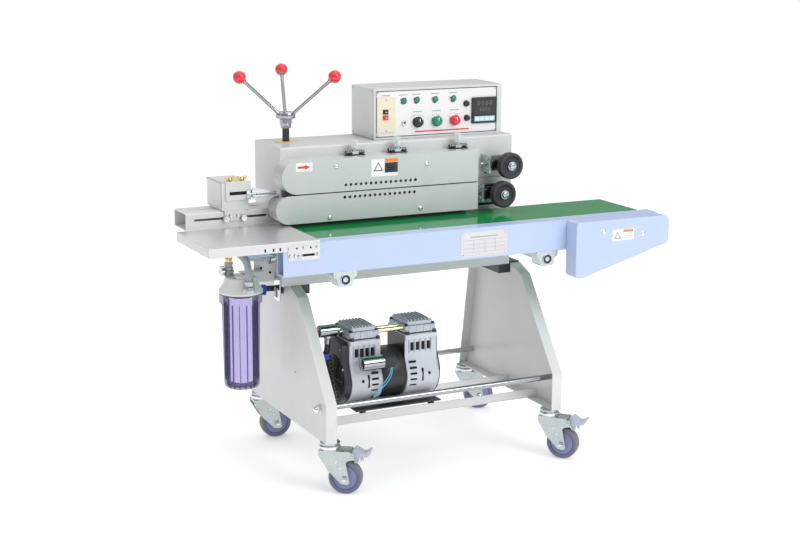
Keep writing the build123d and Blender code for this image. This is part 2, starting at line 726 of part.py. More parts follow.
def bend_radii(points):
    """The largest round bend that the shorter run beside each corner leaves room for."""
    corners = [Vector(*point) for point in points]
    radii = []
    for before, here, after in zip(corners, corners[1:], corners[2:]):
        shorter = min((here - before).length, (after - here).length)
        turn = (here - before).get_angle(after - here)
        radii.append(min(LONGEST_BEND, 0.45 * shorter / tan(radians(turn) / 2)))
    return radii


def hose(points, outer_r):
    radii = bend_radii(points)
    print("hose bends in mm:", [round(radius, 1) for radius in radii])
    path = FilletPolyline(*points, radius=radii)
    section = Plane(origin=path @ 0, z_dir=path % 0) * Circle(outer_r)
    return sweep(section, path=path)


def air_hoses():
    x, y, z = PUMP_HOSE[-1]
    black = hose(PUMP_HOSE, 8)
    clear = hose(FILTER_HOSE, 11)
    clamp = rod_x(14, (-412, -398), -14, 607) + rod_x(9, (-398, CASE_X[0]), -14, 607)
    elbow = rod_x(9, (x - 27, x), y, z) + rod_z(9, x - 27, y, (z - 12, z + 45))
    elbow += block((x - 34, x - 20), (BRACKET_BACK, y), (z + 25, z + 45))
    return [black, clear, clamp, elbow]


# ---------------------------------------------------------------- filter

BRACKET_BACK = 11.0


def filter_bracket():
    side = CASE_X[0]
    plate = block((-446, side), (8, BRACKET_BACK), (538, 597))
    plate += block((side - SHEET, side), (8, 60), (538, 597))
    plate += block((-490, -426), (-24, BRACKET_BACK), (FILTER_Z[2] + 1, FILTER_Z[2] + 4))
    for x, z in ((-400, 589), (-400, 562), (-426, 576)):
        plate -= rod_y(3.5, x, (7, 12), z)
    lock = block((side - SHEET, side), (-30, 8), (487, 548))
    lock -= block((side - 4, side + 1), (-19, -13), (496, 520))
    return plate + lock


def port_nut():
    return hexagon_z(30, FILTER_HOSE[0][0], FILTER_HOSE[0][1], (538, 556))


def filter_cap():
    x, y = FILTER
    band_top = FILTER_Z[1] + 6
    cone_top = FILTER_Z[2] - 4
    cap = rod_z(CAP_R, x, y, (FILTER_Z[1], band_top))
    cap += Pos(x, y, (band_top + cone_top) / 2) * Cone(CAP_R, 42, cone_top - band_top)
    cap += rod_z(42, x, y, (cone_top, FILTER_Z[2] + 1))
    cap -= rod_z(30.2, x, y, (FILTER_Z[1] - 1, FILTER_Z[1] + 12.2))
    return cap - port_nut()


def filter_bowl():
    x, y = FILTER
    z0, z1 = FILTER_Z[0], FILTER_Z[1]
    bowl = Pos(x, y, (z0 + z1) / 2) * Cone(BOWL_R - 2, BOWL_R + 3, z1 - z0)
    bowl = fillet(bowl.edges().group_by(Axis.Z)[0], 7)
    bowl += rod_z(CAP_R - 2, x, y, (z1 - 26, z1))
    hollow = Pos(x, y, (z0 + 5 + z1) / 2) * Cone(BOWL_R - 7, BOWL_R - 2, z1 - z0 - 5)
    return bowl - fillet(hollow.edges().group_by(Axis.Z)[0], 4)


def filter_cartridge():
    x, y = FILTER
    core = rod_z(30, x, y, (FILTER_Z[0] + 5, FILTER_Z[1] + 12))
    return core - rod_z(13, x, y, (FILTER_Z[0] + 3, FILTER_Z[1] + 13))


VALVE = (-528.0, -20.0)
GAUGE_Z = 586.0


def gas_fittings():
    x, y = VALVE
    stack = rod_z(13, x, y, (571, 578)) + hexagon_z(26, x, y, (578, 586)) + rod_z(11, x, y, (586, 606))
    stack += hexagon_z(22, x, y, (600, 608))
    gauge = rod_x(6, (x - 14, x), y, GAUGE_Z) + rod_x(14, (x - 24, x - 14), y, GAUGE_Z)
    valve = rod_z(8, x, y, (608, 616)) + hexagon_z(18, x, y, (616, 634)) + rod_x(5, (x - 12, x), y, 626)
    inlet = rod_z(7, x, y, (634, 643)) + rod_y(7, x, (y - 7, y + 28), 643)
    inlet -= rod_y(4, x, (y + 12, y + 29), 643)
    return [stack + gauge, valve + inlet, port_nut()]


def valve_lever():
    x, y = VALVE
    lever = block((x - 18, x - 12.5), (y - 6, y + 6), (620, 632))
    return lever + block((x - 16, x - 12.5), (y - 34, y), (622, 630))


# ---------------------------------------------------------------- write every node

write("stand_panels", stand_panel(-1), stand_panel(1))
crossbars = [tie_rod(*FRONT_ROD), tie_rod(*REAR_ROD)] + [tray_bar(y) for y in TRAY_Y]
write("stand_crossbars", *crossbars, *body_brackets())
write("caster_plates", *[at_caster(place, caster_plate()) for place in CASTERS])
for place, (side_x, side_y, yaw) in CASTERS.items():
    with_pedal = side_y < 0
    write(f"caster_fork_{place}", at_caster(place, caster_fork(with_pedal)))
    write(f"caster_wheel_{place}", at_caster(place, caster_wheel()))
    if with_pedal:
        write(f"brake_pedal_{place}", at_caster(place, brake_pedal()))

write("casing", *casing())
write("rear_cover", rear_cover())
write("seal_motor", seal_motor())
write("control_box", control_box())
write("control_panel", *control_panel())
write("start_button", push_button(BUTTON_Z[0]))
write("stop_button", push_button(BUTTON_Z[1]))
for number, (x, z) in enumerate(SELECTORS, 1):
    write(f"selector_knob_{number}", selector(x, z))
write("toggle_lever", toggle_lever())

write("upper_cover", cover(UPPER_COVER, -223, 805, -1))
write("lower_cover", cover(LOWER_COVER, -226, 772, 1))
write("sealing_bands", band(UPPER_AXIS_Z), band(LOWER_AXIS_Z))
write("heating_blocks", *heating_blocks())
for side, x in zip(("left", "right"), PULLEY_X):
    write(f"upper_pulley_{side}", band_pulley(x, UPPER_AXIS_Z, False))
    write(f"lower_pulley_{side}", band_pulley(x, LOWER_AXIS_Z, side == "right"))
write("press_arms", *[press_arm(*wheel) for wheel in PRESS_WHEELS])
for name, x, z in PRESS_WHEELS:
    write(f"press_wheel_{name}", press_wheel(x, z))
write("adjuster_bases", *[adjuster_base(x) for x in ADJUSTER_X])
for number, x in enumerate(ADJUSTER_X, 1):
    write(f"pressure_knob_{number}", pressure_knob(x))

write("capstan_handle", *capstan_handle())
write("conveyor_frame", *conveyor_frame())
write("conveyor_belt", conveyor_belt())
write("drive_roller", belt_roller(ROLLER_X[1]))
write("idle_roller", belt_roller(ROLLER_X[0]))
write("motor_cover", motor_cover())
write("conveyor_motor", *conveyor_motor())
write("infeed_table", *infeed_table())

write("nozzle_rail", nozzle_rail())
write("nozzle_carriage", *nozzle_carriage())

write("pump_body", *pump_body())
write("pump_heads", *pump_heads())
write("pump_rotor", pump_rotor())
write("pump_fittings", *pump_fittings())
write("air_hoses", *air_hoses())

write("filter_bracket", *filter_bracket())
write("filter_cap", filter_cap())
write("filter_bowl", filter_bowl())
write("filter_cartridge", filter_cartridge())
write("gas_fittings", *gas_fittings())
write("valve_lever", valve_lever())
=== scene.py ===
from math import cos, pi, radians, sin

import bmesh
import bpy
from mathutils import Matrix, Vector


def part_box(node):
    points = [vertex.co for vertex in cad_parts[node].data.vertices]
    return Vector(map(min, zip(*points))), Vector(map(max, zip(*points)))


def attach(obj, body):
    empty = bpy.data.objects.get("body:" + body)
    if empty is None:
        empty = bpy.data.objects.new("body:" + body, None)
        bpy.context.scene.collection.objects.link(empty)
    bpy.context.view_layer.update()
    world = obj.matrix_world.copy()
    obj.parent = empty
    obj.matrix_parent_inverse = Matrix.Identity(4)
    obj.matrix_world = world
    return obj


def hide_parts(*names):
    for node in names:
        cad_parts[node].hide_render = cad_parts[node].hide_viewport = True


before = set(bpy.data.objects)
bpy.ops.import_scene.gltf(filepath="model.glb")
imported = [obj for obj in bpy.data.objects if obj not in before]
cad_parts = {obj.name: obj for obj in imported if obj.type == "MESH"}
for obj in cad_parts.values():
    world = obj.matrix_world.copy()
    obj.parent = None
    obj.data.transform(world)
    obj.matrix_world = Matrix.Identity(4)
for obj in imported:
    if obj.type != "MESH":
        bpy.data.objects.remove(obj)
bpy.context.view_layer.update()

# Everything below is in millimetres in the machine's own axes: X = 0 and Y = 0 at the middle of the
# stand, and the floor at Z = FLOOR. at() turns such a point into the frame's metres.
MM = 0.001
FLOOR = 14.0
stand_low, stand_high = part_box("stand_panels")
ORIGIN = Vector(((stand_low.x + stand_high.x) / 2, (stand_low.y + stand_high.y) / 2 + MM, -FLOOR * MM))


def at(x, y, z):
    return ORIGIN + Vector((x, y, z)) * MM


def span(node):
    low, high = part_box(node)
    return (low - ORIGIN) / MM, (high - ORIGIN) / MM


# ---------------------------------------------------------------- camera, floor and light

CAMERA_AT = (-1918.1, -3829.0, 1482.1)
CAMERA_YAW = 26.46
CAMERA_PITCH = 12.37
CAMERA_ROLL = 0.35
LENS = 70.26


def make_camera():
    yaw, pitch, roll = (radians(v) for v in (CAMERA_YAW, CAMERA_PITCH, CAMERA_ROLL))
    forward = Vector((sin(yaw) * cos(pitch), cos(yaw) * cos(pitch), -sin(pitch)))
    right = Vector((cos(yaw), -sin(yaw), 0))
    up = right.cross(forward)
    right_rolled = right * cos(roll) + up * sin(roll)
    up_rolled = up * cos(roll) - right * sin(roll)
    data = bpy.data.cameras.new("camera")
    data.sensor_width = 36
    data.lens = LENS
    data.clip_end = 50
    camera = bpy.data.objects.new("camera", data)
    turn = Matrix((right_rolled, up_rolled, -forward)).transposed().to_4x4()
    camera.matrix_world = Matrix.Translation(at(*CAMERA_AT)) @ turn
    bpy.context.scene.collection.objects.link(camera)
    bpy.context.scene.camera = camera


def area_light(name, place, target, size, power):
    data = bpy.data.lights.new(name, "AREA")
    data.shape = "RECTANGLE"
    data.size, data.size_y = size
    data.energy = power
    lamp = bpy.data.objects.new(name, data)
    lamp.location = place
    lamp.rotation_euler = (Vector(target) - Vector(place)).to_track_quat("-Z", "Y").to_euler()
    bpy.context.scene.collection.objects.link(lamp)


# Height of the view direction, from -1 straight down to 1 straight up, and the sky's brightness there
SKY = ((-1.0, 0.95), (-0.02, 0.95), (0.03, 0.30), (0.35, 0.42), (0.7, 0.95), (1.0, 1.0))
FLOOR_REACH = 60.0
FLOOR_GLOW = 0.30


def make_sky():
    world = bpy.data.worlds.new("studio")
    world.use_nodes = True
    nodes, links = world.node_tree.nodes, world.node_tree.links
    where = nodes.new("ShaderNodeTexCoord")
    parts = nodes.new("ShaderNodeSeparateXYZ")
    height = nodes.new("ShaderNodeMapRange")
    height.inputs["From Min"].default_value = -1.0
    ramp = nodes.new("ShaderNodeValToRGB")
    while len(ramp.color_ramp.elements) < len(SKY):
        ramp.color_ramp.elements.new(0.5)
    for element, (level, grey) in zip(ramp.color_ramp.elements, SKY):
        element.position = (level + 1) / 2
        element.color = (grey, grey, grey, 1)
    links.new(where.outputs["Generated"], parts.inputs["Vector"])
    links.new(parts.outputs["Z"], height.inputs["Value"])
    links.new(height.outputs["Result"], ramp.inputs["Fac"])
    links.new(ramp.outputs["Color"], nodes["Background"].inputs["Color"])
    bpy.context.scene.world = world


def make_studio():
    make_sky()
    bpy.context.scene.view_settings.view_transform = "Standard"
    area_light("key", (1.3, -3.6, 2.6), (0, 0, 0.6), (2.2, 1.8), 70)
    area_light("top", (0.2, -0.6, 3.6), (0, 0, 0.6), (3.0, 2.0), 10)
    area_light("side", (-4.0, -0.6, 1.6), (-0.3, 0, 0.6), (1.4, 2.0), 3)
    area_light("back", (0.6, 3.4, 2.6), (0, 0, 0.7), (3.0, 1.6), 12)
    mesh = bpy.data.meshes.new("floor")
    far = FLOOR_REACH
    mesh.from_pydata([(-far, -far, 0), (far, -far, 0), (far, far, 0), (-far, far, 0)], [], [(0, 1, 2, 3)])
    floor = bpy.data.objects.new("floor", mesh)
    bpy.context.scene.collection.objects.link(floor)
    pale = plain("floor", (0.90, 0.90, 0.90), 0.7, vary=0.0)
    shader = pale.node_tree.nodes["Principled BSDF"]
    shader.inputs["Emission Color"].default_value = (1, 1, 1, 1)
    shader.inputs["Emission Strength"].default_value = FLOOR_GLOW
    mesh.materials.append(pale)


# ---------------------------------------------------------------- materials

def plain(name, color, rough, metal=0.0, vary=0.04, grain=0.0, grain_scale=600.0, patch_scale=14.0,
          rough_vary=0.06, coat=0.0, stretch=(1, 1, 1), transmission=0.0, ior=1.5, fine=0.0, alpha=1.0,
          glow=0.0):
    """A shader whose colour drifts in soft patches, with mottled gloss and a fine bumped grain."""
    mat = bpy.data.materials.new(name)
    mat.use_nodes = True
    nodes, links = mat.node_tree.nodes, mat.node_tree.links
    shader = nodes["Principled BSDF"]
    shader.inputs["Metallic"].default_value = metal
    shader.inputs["Coat Weight"].default_value = coat
    shader.inputs["Coat Roughness"].default_value = 0.08
    shader.inputs["Transmission Weight"].default_value = transmission
    shader.inputs["IOR"].default_value = ior
    shader.inputs["Alpha"].default_value = alpha
    shader.inputs["Emission Color"].default_value = (*color, 1)
    shader.inputs["Emission Strength"].default_value = glow
    where = nodes.new("ShaderNodeTexCoord")
    scale = nodes.new("ShaderNodeMapping")
    scale.inputs["Scale"].default_value = stretch
    links.new(where.outputs["Object"], scale.inputs["Vector"])

    def noise(size, detail=3.0):
        node = nodes.new("ShaderNodeTexNoise")
        node.inputs["Scale"].default_value = size
        node.inputs["Detail"].default_value = detail
        links.new(scale.outputs["Vector"], node.inputs["Vector"])
        return node.outputs["Fac"]

    dark = [max(0.0, c * (1 - vary)) for c in color]
    light = [min(1.0, c * (1 + vary)) for c in color]
    ramp = nodes.new("ShaderNodeValToRGB")
    ramp.color_ramp.elements[0].position = 0.3
    ramp.color_ramp.elements[1].position = 0.7
    ramp.color_ramp.elements[0].color = (*dark, 1)
    ramp.color_ramp.elements[1].color = (*light, 1)
    links.new(noise(patch_scale), ramp.inputs["Fac"])
    links.new(ramp.outputs["Color"], shader.inputs["Base Color"])
    span_rough = nodes.new("ShaderNodeMapRange")
    span_rough.inputs["To Min"].default_value = max(0.0, rough - rough_vary)
    span_rough.inputs["To Max"].default_value = min(1.0, rough + rough_vary)
    links.new(noise(patch_scale * 5 if fine == 0 else fine, 4.0), span_rough.inputs["Value"])
    links.new(span_rough.outputs["Result"], shader.inputs["Roughness"])
    if grain > 0:
        bump = nodes.new("ShaderNodeBump")
        bump.inputs["Strength"].default_value = grain
        bump.inputs["Distance"].default_value = 0.0004
        links.new(noise(grain_scale, 2.0), bump.inputs["Height"])
        links.new(bump.outputs["Normal"], shader.inputs["Normal"])
    return mat


def tinted(name, tint, gloss, rough=0.08):
    """A clear plastic that colours what is seen through it, under a share of plain gloss."""
    mat = bpy.data.materials.new(name)
    mat.use_nodes = True
    nodes, links = mat.node_tree.nodes, mat.node_tree.links
    through = nodes.new("ShaderNodeBsdfTransparent")
    through.inputs["Color"].default_value = (*tint, 1)
    shine = nodes["Principled BSDF"]
    shine.inputs["Base Color"].default_value = (*[c * c for c in tint], 1)
    shine.inputs["Roughness"].default_value = rough
    blend = nodes.new("ShaderNodeMixShader")
    blend.inputs["Fac"].default_value = gloss
    links.new(through.outputs["BSDF"], blend.inputs[1])
    links.new(shine.outputs["BSDF"], blend.inputs[2])
    links.new(blend.outputs["Shader"], nodes["Material Output"].inputs["Surface"])
    return mat


def make_materials():
    made = {}

    def add(name, *args, **words):
        made[name] = plain(name, *args, **words)

    add("stand_paint", (0.70, 0.705, 0.70), 0.36, vary=0.02, grain=0.10, grain_scale=900, coat=0.25)
    add("body_paint", (0.63, 0.65, 0.655), 0.34, vary=0.02, grain=0.10, grain_scale=900, coat=0.3)
    add("cover_paint", (0.55, 0.58, 0.585), 0.30, metal=0.05, vary=0.02, grain=0.06, grain_scale=900,
        coat=0.3)
    add("rail_paint", (0.47, 0.57, 0.81), 0.32, vary=0.015, grain=0.08, grain_scale=900, coat=0.2)
    add("panel_plate", (0.80, 0.80, 0.81), 0.38, vary=0.015, grain=0.05)
    add("stainless", (0.66, 0.66, 0.67), 0.34, metal=0.8, vary=0.05, grain=0.22, grain_scale=260,
        stretch=(0.06, 6.0, 1.0), rough_vary=0.10, patch_scale=30)
    add("zinc", (0.52, 0.57, 0.58), 0.26, metal=0.95, vary=0.05, grain=0.05, patch_scale=40, rough_vary=0.08)
    add("chrome", (0.82, 0.83, 0.84), 0.07, metal=1.0, vary=0.03, rough_vary=0.03)
    add("steel", (0.52, 0.52, 0.53), 0.30, metal=1.0, vary=0.08, rough_vary=0.1, patch_scale=50)
    add("cast_alloy", (0.62, 0.65, 0.71), 0.42, metal=0.15, vary=0.05, grain=0.30, grain_scale=1400)
    add("head_alloy", (0.52, 0.55, 0.62), 0.40, metal=0.15, vary=0.05, grain=0.30, grain_scale=1400)
    # Chrome with a darker base colour: painted shade standing in for the darker reflections on the capstan,
    # front tie rod and pump fittings
    add("shaded_chrome", (0.40, 0.41, 0.43), 0.10, metal=1.0, vary=0.06, rough_vary=0.04)
    add("brass", (0.72, 0.52, 0.20), 0.26, metal=1.0, vary=0.10, patch_scale=90, rough_vary=0.1)
    add("pale_brass", (0.80, 0.72, 0.48), 0.24, metal=1.0, vary=0.06, patch_scale=60)
    add("black_plastic", (0.022, 0.022, 0.025), 0.30, vary=0.2, grain=0.10, grain_scale=1200)
    add("black_paint", (0.03, 0.03, 0.034), 0.34, vary=0.15, grain=0.15, grain_scale=1000)
    add("black_gloss", (0.012, 0.012, 0.014), 0.14, vary=0.1, coat=0.7)
    add("hose_inside", (0.55, 0.56, 0.66), 0.35, vary=0.04)
    # A darker tint than the bowl, used on its inner ribs: painted shade standing in for the bowl's dark edges
    made["filter_edge_shade"] = tinted("filter_edge_shade", (0.42, 0.40, 0.58), 0.10)
    add("digit_red", (0.19, 0.20, 0.21), 0.4)
    add("digit_green", (0.20, 0.215, 0.22), 0.4)
    # Flat near-black: painted shade for the depth of holes, slots, gaps and seams, drawn as thin sheets
    add("hole_shade", (0.006, 0.006, 0.006), 0.85, vary=0.2)
    add("black_rubber", (0.035, 0.035, 0.04), 0.55, vary=0.2, grain=0.25, grain_scale=900)
    add("caster_tread", (0.19, 0.19, 0.175), 0.5, vary=0.08, grain=0.2, grain_scale=700)
    add("caster_face", (0.15, 0.15, 0.29), 0.42, vary=0.05, grain=0.1)
    add("caster_core", (0.22, 0.24, 0.42), 0.38, vary=0.05, grain=0.1)
    add("pedal_grey", (0.47, 0.50, 0.60), 0.38, vary=0.03, grain=0.15)
    add("motor_grey", (0.20, 0.21, 0.22), 0.45, vary=0.05, grain=0.2)
    add("belt_green", (0.012, 0.26, 0.075), 0.13, vary=0.08, patch_scale=7, rough_vary=0.04,
        grain=0.05, grain_scale=500, ior=1.3)
    add("red_gloss", (0.78, 0.018, 0.030), 0.12, vary=0.05, coat=0.8)
    add("red_plastic", (0.68, 0.03, 0.05), 0.25, vary=0.05, coat=0.3)
    add("green_plastic", (0.0, 0.22, 0.11), 0.25, vary=0.1, coat=0.4)
    add("green_lens", (0.0, 0.20, 0.10), 0.10, vary=0.15, coat=0.8, patch_scale=200)
    add("cream_plastic", (0.78, 0.73, 0.56), 0.4, vary=0.02, grain=0.1)
    add("white_plastic", (0.85, 0.85, 0.86), 0.35, vary=0.02, grain=0.1)
    add("yellow_paint", (0.90, 0.62, 0.02), 0.35, vary=0.04)
    add("label_white", (0.88, 0.88, 0.88), 0.4, vary=0.01)
    add("label_orange", (0.90, 0.25, 0.02), 0.4, vary=0.02)
    add("label_red", (0.78, 0.04, 0.04), 0.4, vary=0.02)
    add("label_dark", (0.03, 0.03, 0.035), 0.4, vary=0.05)
    add("label_grey", (0.35, 0.35, 0.37), 0.45, vary=0.05)
    add("screen_dark", (0.012, 0.014, 0.018), 0.10, vary=0.1, coat=0.6)
    add("key_blue", (0.42, 0.66, 0.85), 0.35, vary=0.03)
    add("wire_blue", (0.16, 0.55, 0.85), 0.4, vary=0.05)
    add("clamp_blue", (0.012, 0.035, 0.50), 0.35, vary=0.08)
    add("clear_acrylic", (0.80, 0.84, 0.86), 0.06, vary=0.01, alpha=0.38, coat=0.6)
    add("hose_clear", (0.62, 0.65, 0.72), 0.10, vary=0.03, alpha=0.34, coat=0.5)
    add("hose_wire", (0.50, 0.52, 0.58), 0.25, metal=0.8, vary=0.05)
    add("hose_black", (0.03, 0.03, 0.034), 0.38, vary=0.15, grain=0.15)
    add("filter_white", (0.82, 0.83, 0.84), 0.30, vary=0.015, grain=0.06, coat=0.2)
    made["filter_purple"] = tinted("filter_purple", (0.62, 0.60, 0.71), 0.10)
    # The cartridge paper glows: painted light standing in for light reaching it through the tinted bowl
    add("filter_paper", (0.92, 0.90, 0.97), 0.7, vary=0.03, grain=0.5, grain_scale=500, glow=1.2)
    add("fitting_grey", (0.42, 0.44, 0.45), 0.35, metal=0.7, vary=0.1, patch_scale=80)
    add("seal_band", (0.40, 0.27, 0.16), 0.5, vary=0.08)
    add("panel_edge", (0.06, 0.06, 0.065), 0.4, vary=0.05)
    return made


# ---------------------------------------------------------------- mesh building

# Directions in the machine's axes
LEFT, RIGHT, FRONT, REAR = (-1, 0, 0), (1, 0, 0), (0, -1, 0), (0, 1, 0)


def oblong(a, b, low, high):
    """The four corners of a rectangle in order, as a profile or an outline."""
    return ((a, low), (b, low), (b, high), (a, high))


class Shape:
    """Gathers boxes, turned forms and prisms, in machine millimetres, into one mesh."""

    def __init__(self):
        self.bm = bmesh.new()

    def box(self, x, y, z, turn=None):
        corners = [Vector((a, b, c)) for c in z for b in y for a in x]
        if turn is not None:
            corners = [turn @ corner for corner in corners]
        v = [self.bm.verts.new(corner) for corner in corners]
        for face in ((0, 2, 3, 1), (4, 5, 7, 6), (0, 1, 5, 4), (2, 6, 7, 3), (0, 4, 6, 2), (1, 3, 7, 5)):
            self.bm.faces.new([v[i] for i in face])
        return self

    def turned(self, profile, place, axis=(0, 0, 1), segments=40, closed_ring=False):
        """Turns (radius, height) points about an axis through place."""
        basis = Vector(axis).to_track_quat("Z", "Y").to_matrix()
        place = Vector(place)
        rings = []
        for radius, height in profile:
            if radius < 1e-6:
                rings.append([self.bm.verts.new(place + basis @ Vector((0, 0, height)))])
                continue
            ring = []
            for index in range(segments):
                angle = 2 * pi * index / segments
                point = Vector((radius * cos(angle), radius * sin(angle), height))
                ring.append(self.bm.verts.new(place + basis @ point))
            rings.append(ring)
        pairs = list(zip(rings, rings[1:]))
        if closed_ring:
            pairs.append((rings[-1], rings[0]))
        for low, high in pairs:
            for index in range(segments):
                after = (index + 1) % segments
                if len(low) == 1 and len(high) == 1:
                    continue
                if len(low) == 1:
                    self.bm.faces.new((low[0], high[after], high[index]))
                elif len(high) == 1:
                    self.bm.faces.new((low[index], low[after], high[0]))
                else:
                    self.bm.faces.new((low[index], low[after], high[after], high[index]))
        return self

    def prism(self, outline, axis, low, high):
        """Pushes an outline along an axis: its points are the other two coordinates in order."""
        def point(pair, along):
            a, b = pair
            return {"X": (along, a, b), "Y": (a, along, b), "Z": (a, b, along)}[axis]

        near = [self.bm.verts.new(point(pair, low)) for pair in outline]
        far = [self.bm.verts.new(point(pair, high)) for pair in outline]
        self.bm.faces.new(near)
        self.bm.faces.new(list(reversed(far)))
        for index in range(len(outline)):
            after = (index + 1) % len(outline)
            self.bm.faces.new((near[index], far[index], far[after], near[after]))
        return self

    def finish(self, name, mat, body, bevel=0.0, segments=2, angle=35, subdivide=0):
        bmesh.ops.recalc_face_normals(self.bm, faces=self.bm.faces)
        for vertex in self.bm.verts:
            vertex.co = at(*vertex.co)
        mesh = bpy.data.meshes.new(name)
        self.bm.to_mesh(mesh)
        self.bm.free()
        return dress(name, mesh, mat, body, bevel, segments, angle, subdivide)


def dress(name, mesh, mat, body, bevel=0.0, segments=2, angle=35, subdivide=0):
    piece = bpy.data.objects.new(name, mesh)
    bpy.context.scene.collection.objects.link(piece)
    mesh.materials.clear()
    mesh.materials.append(mats[mat])
    mesh.polygons.foreach_set("use_smooth", [True] * len(mesh.polygons))
    mesh.set_sharp_from_angle(angle=radians(angle))
    if bevel > 0:
        modifier = piece.modifiers.new("bevel", "BEVEL")
        modifier.width = bevel * MM
        modifier.segments = segments
        modifier.limit_method = "ANGLE"
        modifier.angle_limit = radians(angle)
        modifier.harden_normals = True
        apply_modifiers(piece)
    if subdivide:
        modifier = piece.modifiers.new("smooth", "SUBSURF")
        modifier.levels = subdivide
        modifier.render_levels = subdivide
        apply_modifiers(piece)
    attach(piece, body)
    return piece


def apply_modifiers(piece):
    graph = bpy.context.evaluated_depsgraph_get()
    made = bpy.data.meshes.new_from_object(piece.evaluated_get(graph), preserve_all_data_layers=True,
                                           depsgraph=graph)
    old = piece.data
    piece.modifiers.clear()
    piece.data = made
    bpy.data.meshes.remove(old)


def rounded(node, mat, width, body, segments=2):
    """A copy of a CAD node with its sharp edges rolled over, shown in the node's place."""
    bm = bmesh.new()
    bm.from_mesh(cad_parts[node].data)
    bmesh.ops.remove_doubles(bm, verts=bm.verts, dist=0.00002)
    bmesh.ops.dissolve_limit(bm, angle_limit=radians(1.0), verts=bm.verts, edges=bm.edges)
    mesh = bpy.data.meshes.new(node + "_rounded")
    bm.to_mesh(mesh)
    bm.free()
    piece = dress(node + "_rounded", mesh, mat, body, width, segments, 32)
    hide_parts(node)
    return piece


def tube(name, points, radius, mat, body, order=3):
    curve = bpy.data.curves.new(name, "CURVE")
    curve.dimensions = "3D"
    curve.bevel_depth = radius * MM
    curve.bevel_resolution = 6
    curve.use_fill_caps = True
    spline = curve.splines.new("NURBS")
    spline.points.add(len(points) - 1)
    for point, place in zip(spline.points, points):
        point.co = (*at(*place), 1)
    spline.order_u = order
    spline.use_endpoint_u = True
    spline.resolution_u = 12
    piece = bpy.data.objects.new(name, curve)
    bpy.context.scene.collection.objects.link(piece)
    curve.materials.append(mats[mat])
    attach(piece, body)
    return piece


def paint(node, mat):
    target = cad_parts[node]
    target.data.materials.clear()
    target.data.materials.append(mats[mat])
    target.data.polygons.foreach_set("use_smooth", [True] * len(target.data.polygons))
    target.data.set_sharp_from_angle(angle=radians(32))


def dome_screw(shape, place, axis, radius, height):
    shape.turned(((0, -0.5), (radius, -0.5), (radius, height * 0.35), (radius * 0.8, height * 0.8),
                  (radius * 0.45, height), (0, height)), place, axis, 20)
    return shape


def hex_bolt(shape, place, axis, across, height):
    radius = across / 3 ** 0.5
    shape.turned(((0, 0), (radius * 1.15, 0), (radius * 1.15, height * 0.15), (radius * 0.9, height * 0.15)),
                 place, axis, 24)
    shape.turned(((0, height * 0.1), (radius, height * 0.1), (radius, height * 0.9),
                  (radius * 0.86, height), (0, height)), place, axis, 6)
    return shape


mats = make_materials()
make_camera()
make_studio()
ROOT = "machine"


# ---------------------------------------------------------------- stand and casters

def make_stand():
    rounded("stand_panels", "stand_paint", 1.4, ROOT)
    low, high = span("stand_panels")
    trays = Shape()
    rod_ends = Shape()
    inner = high.x - 3
    for y in (-133, 25):
        trays.box((-inner, inner), (y - 12.5, y + 12.5), (156, 159))
        trays.box((-inner, inner), (y - 12.5, y - 9.5), (159, 181))
    for y, z in ((-232, 240), (233, 205)):
        rods = Shape().turned(oblong(0, 8, low.x, high.x), (0, y, z), RIGHT, 32)
        # The front rod takes the darker chrome, whose darkness is painted shade
        rods.finish(f"tie_rod_{'front' if y < 0 else 'rear'}", "shaded_chrome" if y < 0 else "steel", ROOT)
        for end in (-1, 1):
            place = (end * high.x, y, z)
            rod_ends.turned(oblong(0, 15, 0, 2), place, (end, 0, 0), 32)
            rod_ends.turned(((0, 2), (12.5, 2), (12.5, 9), (10.5, 11), (0, 11)), place, (end, 0, 0), 6)
            rod_ends.turned(((9.5, 9), (9.2, 12), (7.6, 15), (4.5, 17.2), (0, 18)), place, (end, 0, 0), 28)
    trays.finish("tray_bars", "stand_paint", ROOT, 0.8)
    nuts = rod_ends.finish("dome_nuts", "chrome", ROOT, 0.4)
    brackets = Shape()
    brackets.box((-329, -300), (-30, 140), (502, 530)).box((290, 329), (-30, 140), (502, 530))
    brackets.box((319, 357), (-30, 140), (530, 534)).box((319, 323), (-30, 140), (534, 600))
    brackets.finish("casing_brackets", "black_paint", ROOT, 1.0)
    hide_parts("stand_crossbars")
    marks = Shape()
    for y, z, r in ((164, 476, 5), (-66, 296, 3.5)):
        dome_screw(marks, (high.x if y > 0 else -high.x, y, z), (1 if y > 0 else -1, 0, 0), r, 3)
    dome_screw(marks, (-high.x, 164, 476), LEFT, 5, 3)
    marks.finish("panel_screws", "zinc", ROOT)


# Each caster's place on the stand and the yaw it has come to rest at, as in the part's source
CASTERS = {
    "front_left": (-338, -248, -35.0),
    "front_right": (338, -248, -50.0),
    "rear_left": (-338, 248, -5.0),
    "rear_right": (338, 248, -20.0),
}
WHEEL_R = 45
AXLE = (42, 0, FLOOR + WHEEL_R)


def yawed(shape, place):
    """Turns a shape drawn about a caster's own swivel axis to where that caster stands."""
    x, y, yaw = CASTERS[place]
    matrix = Matrix.Translation((x, y, 0)) @ Matrix.Rotation(radians(yaw), 4, "Z")
    bmesh.ops.transform(shape.bm, matrix=matrix, verts=shape.bm.verts)
    return shape


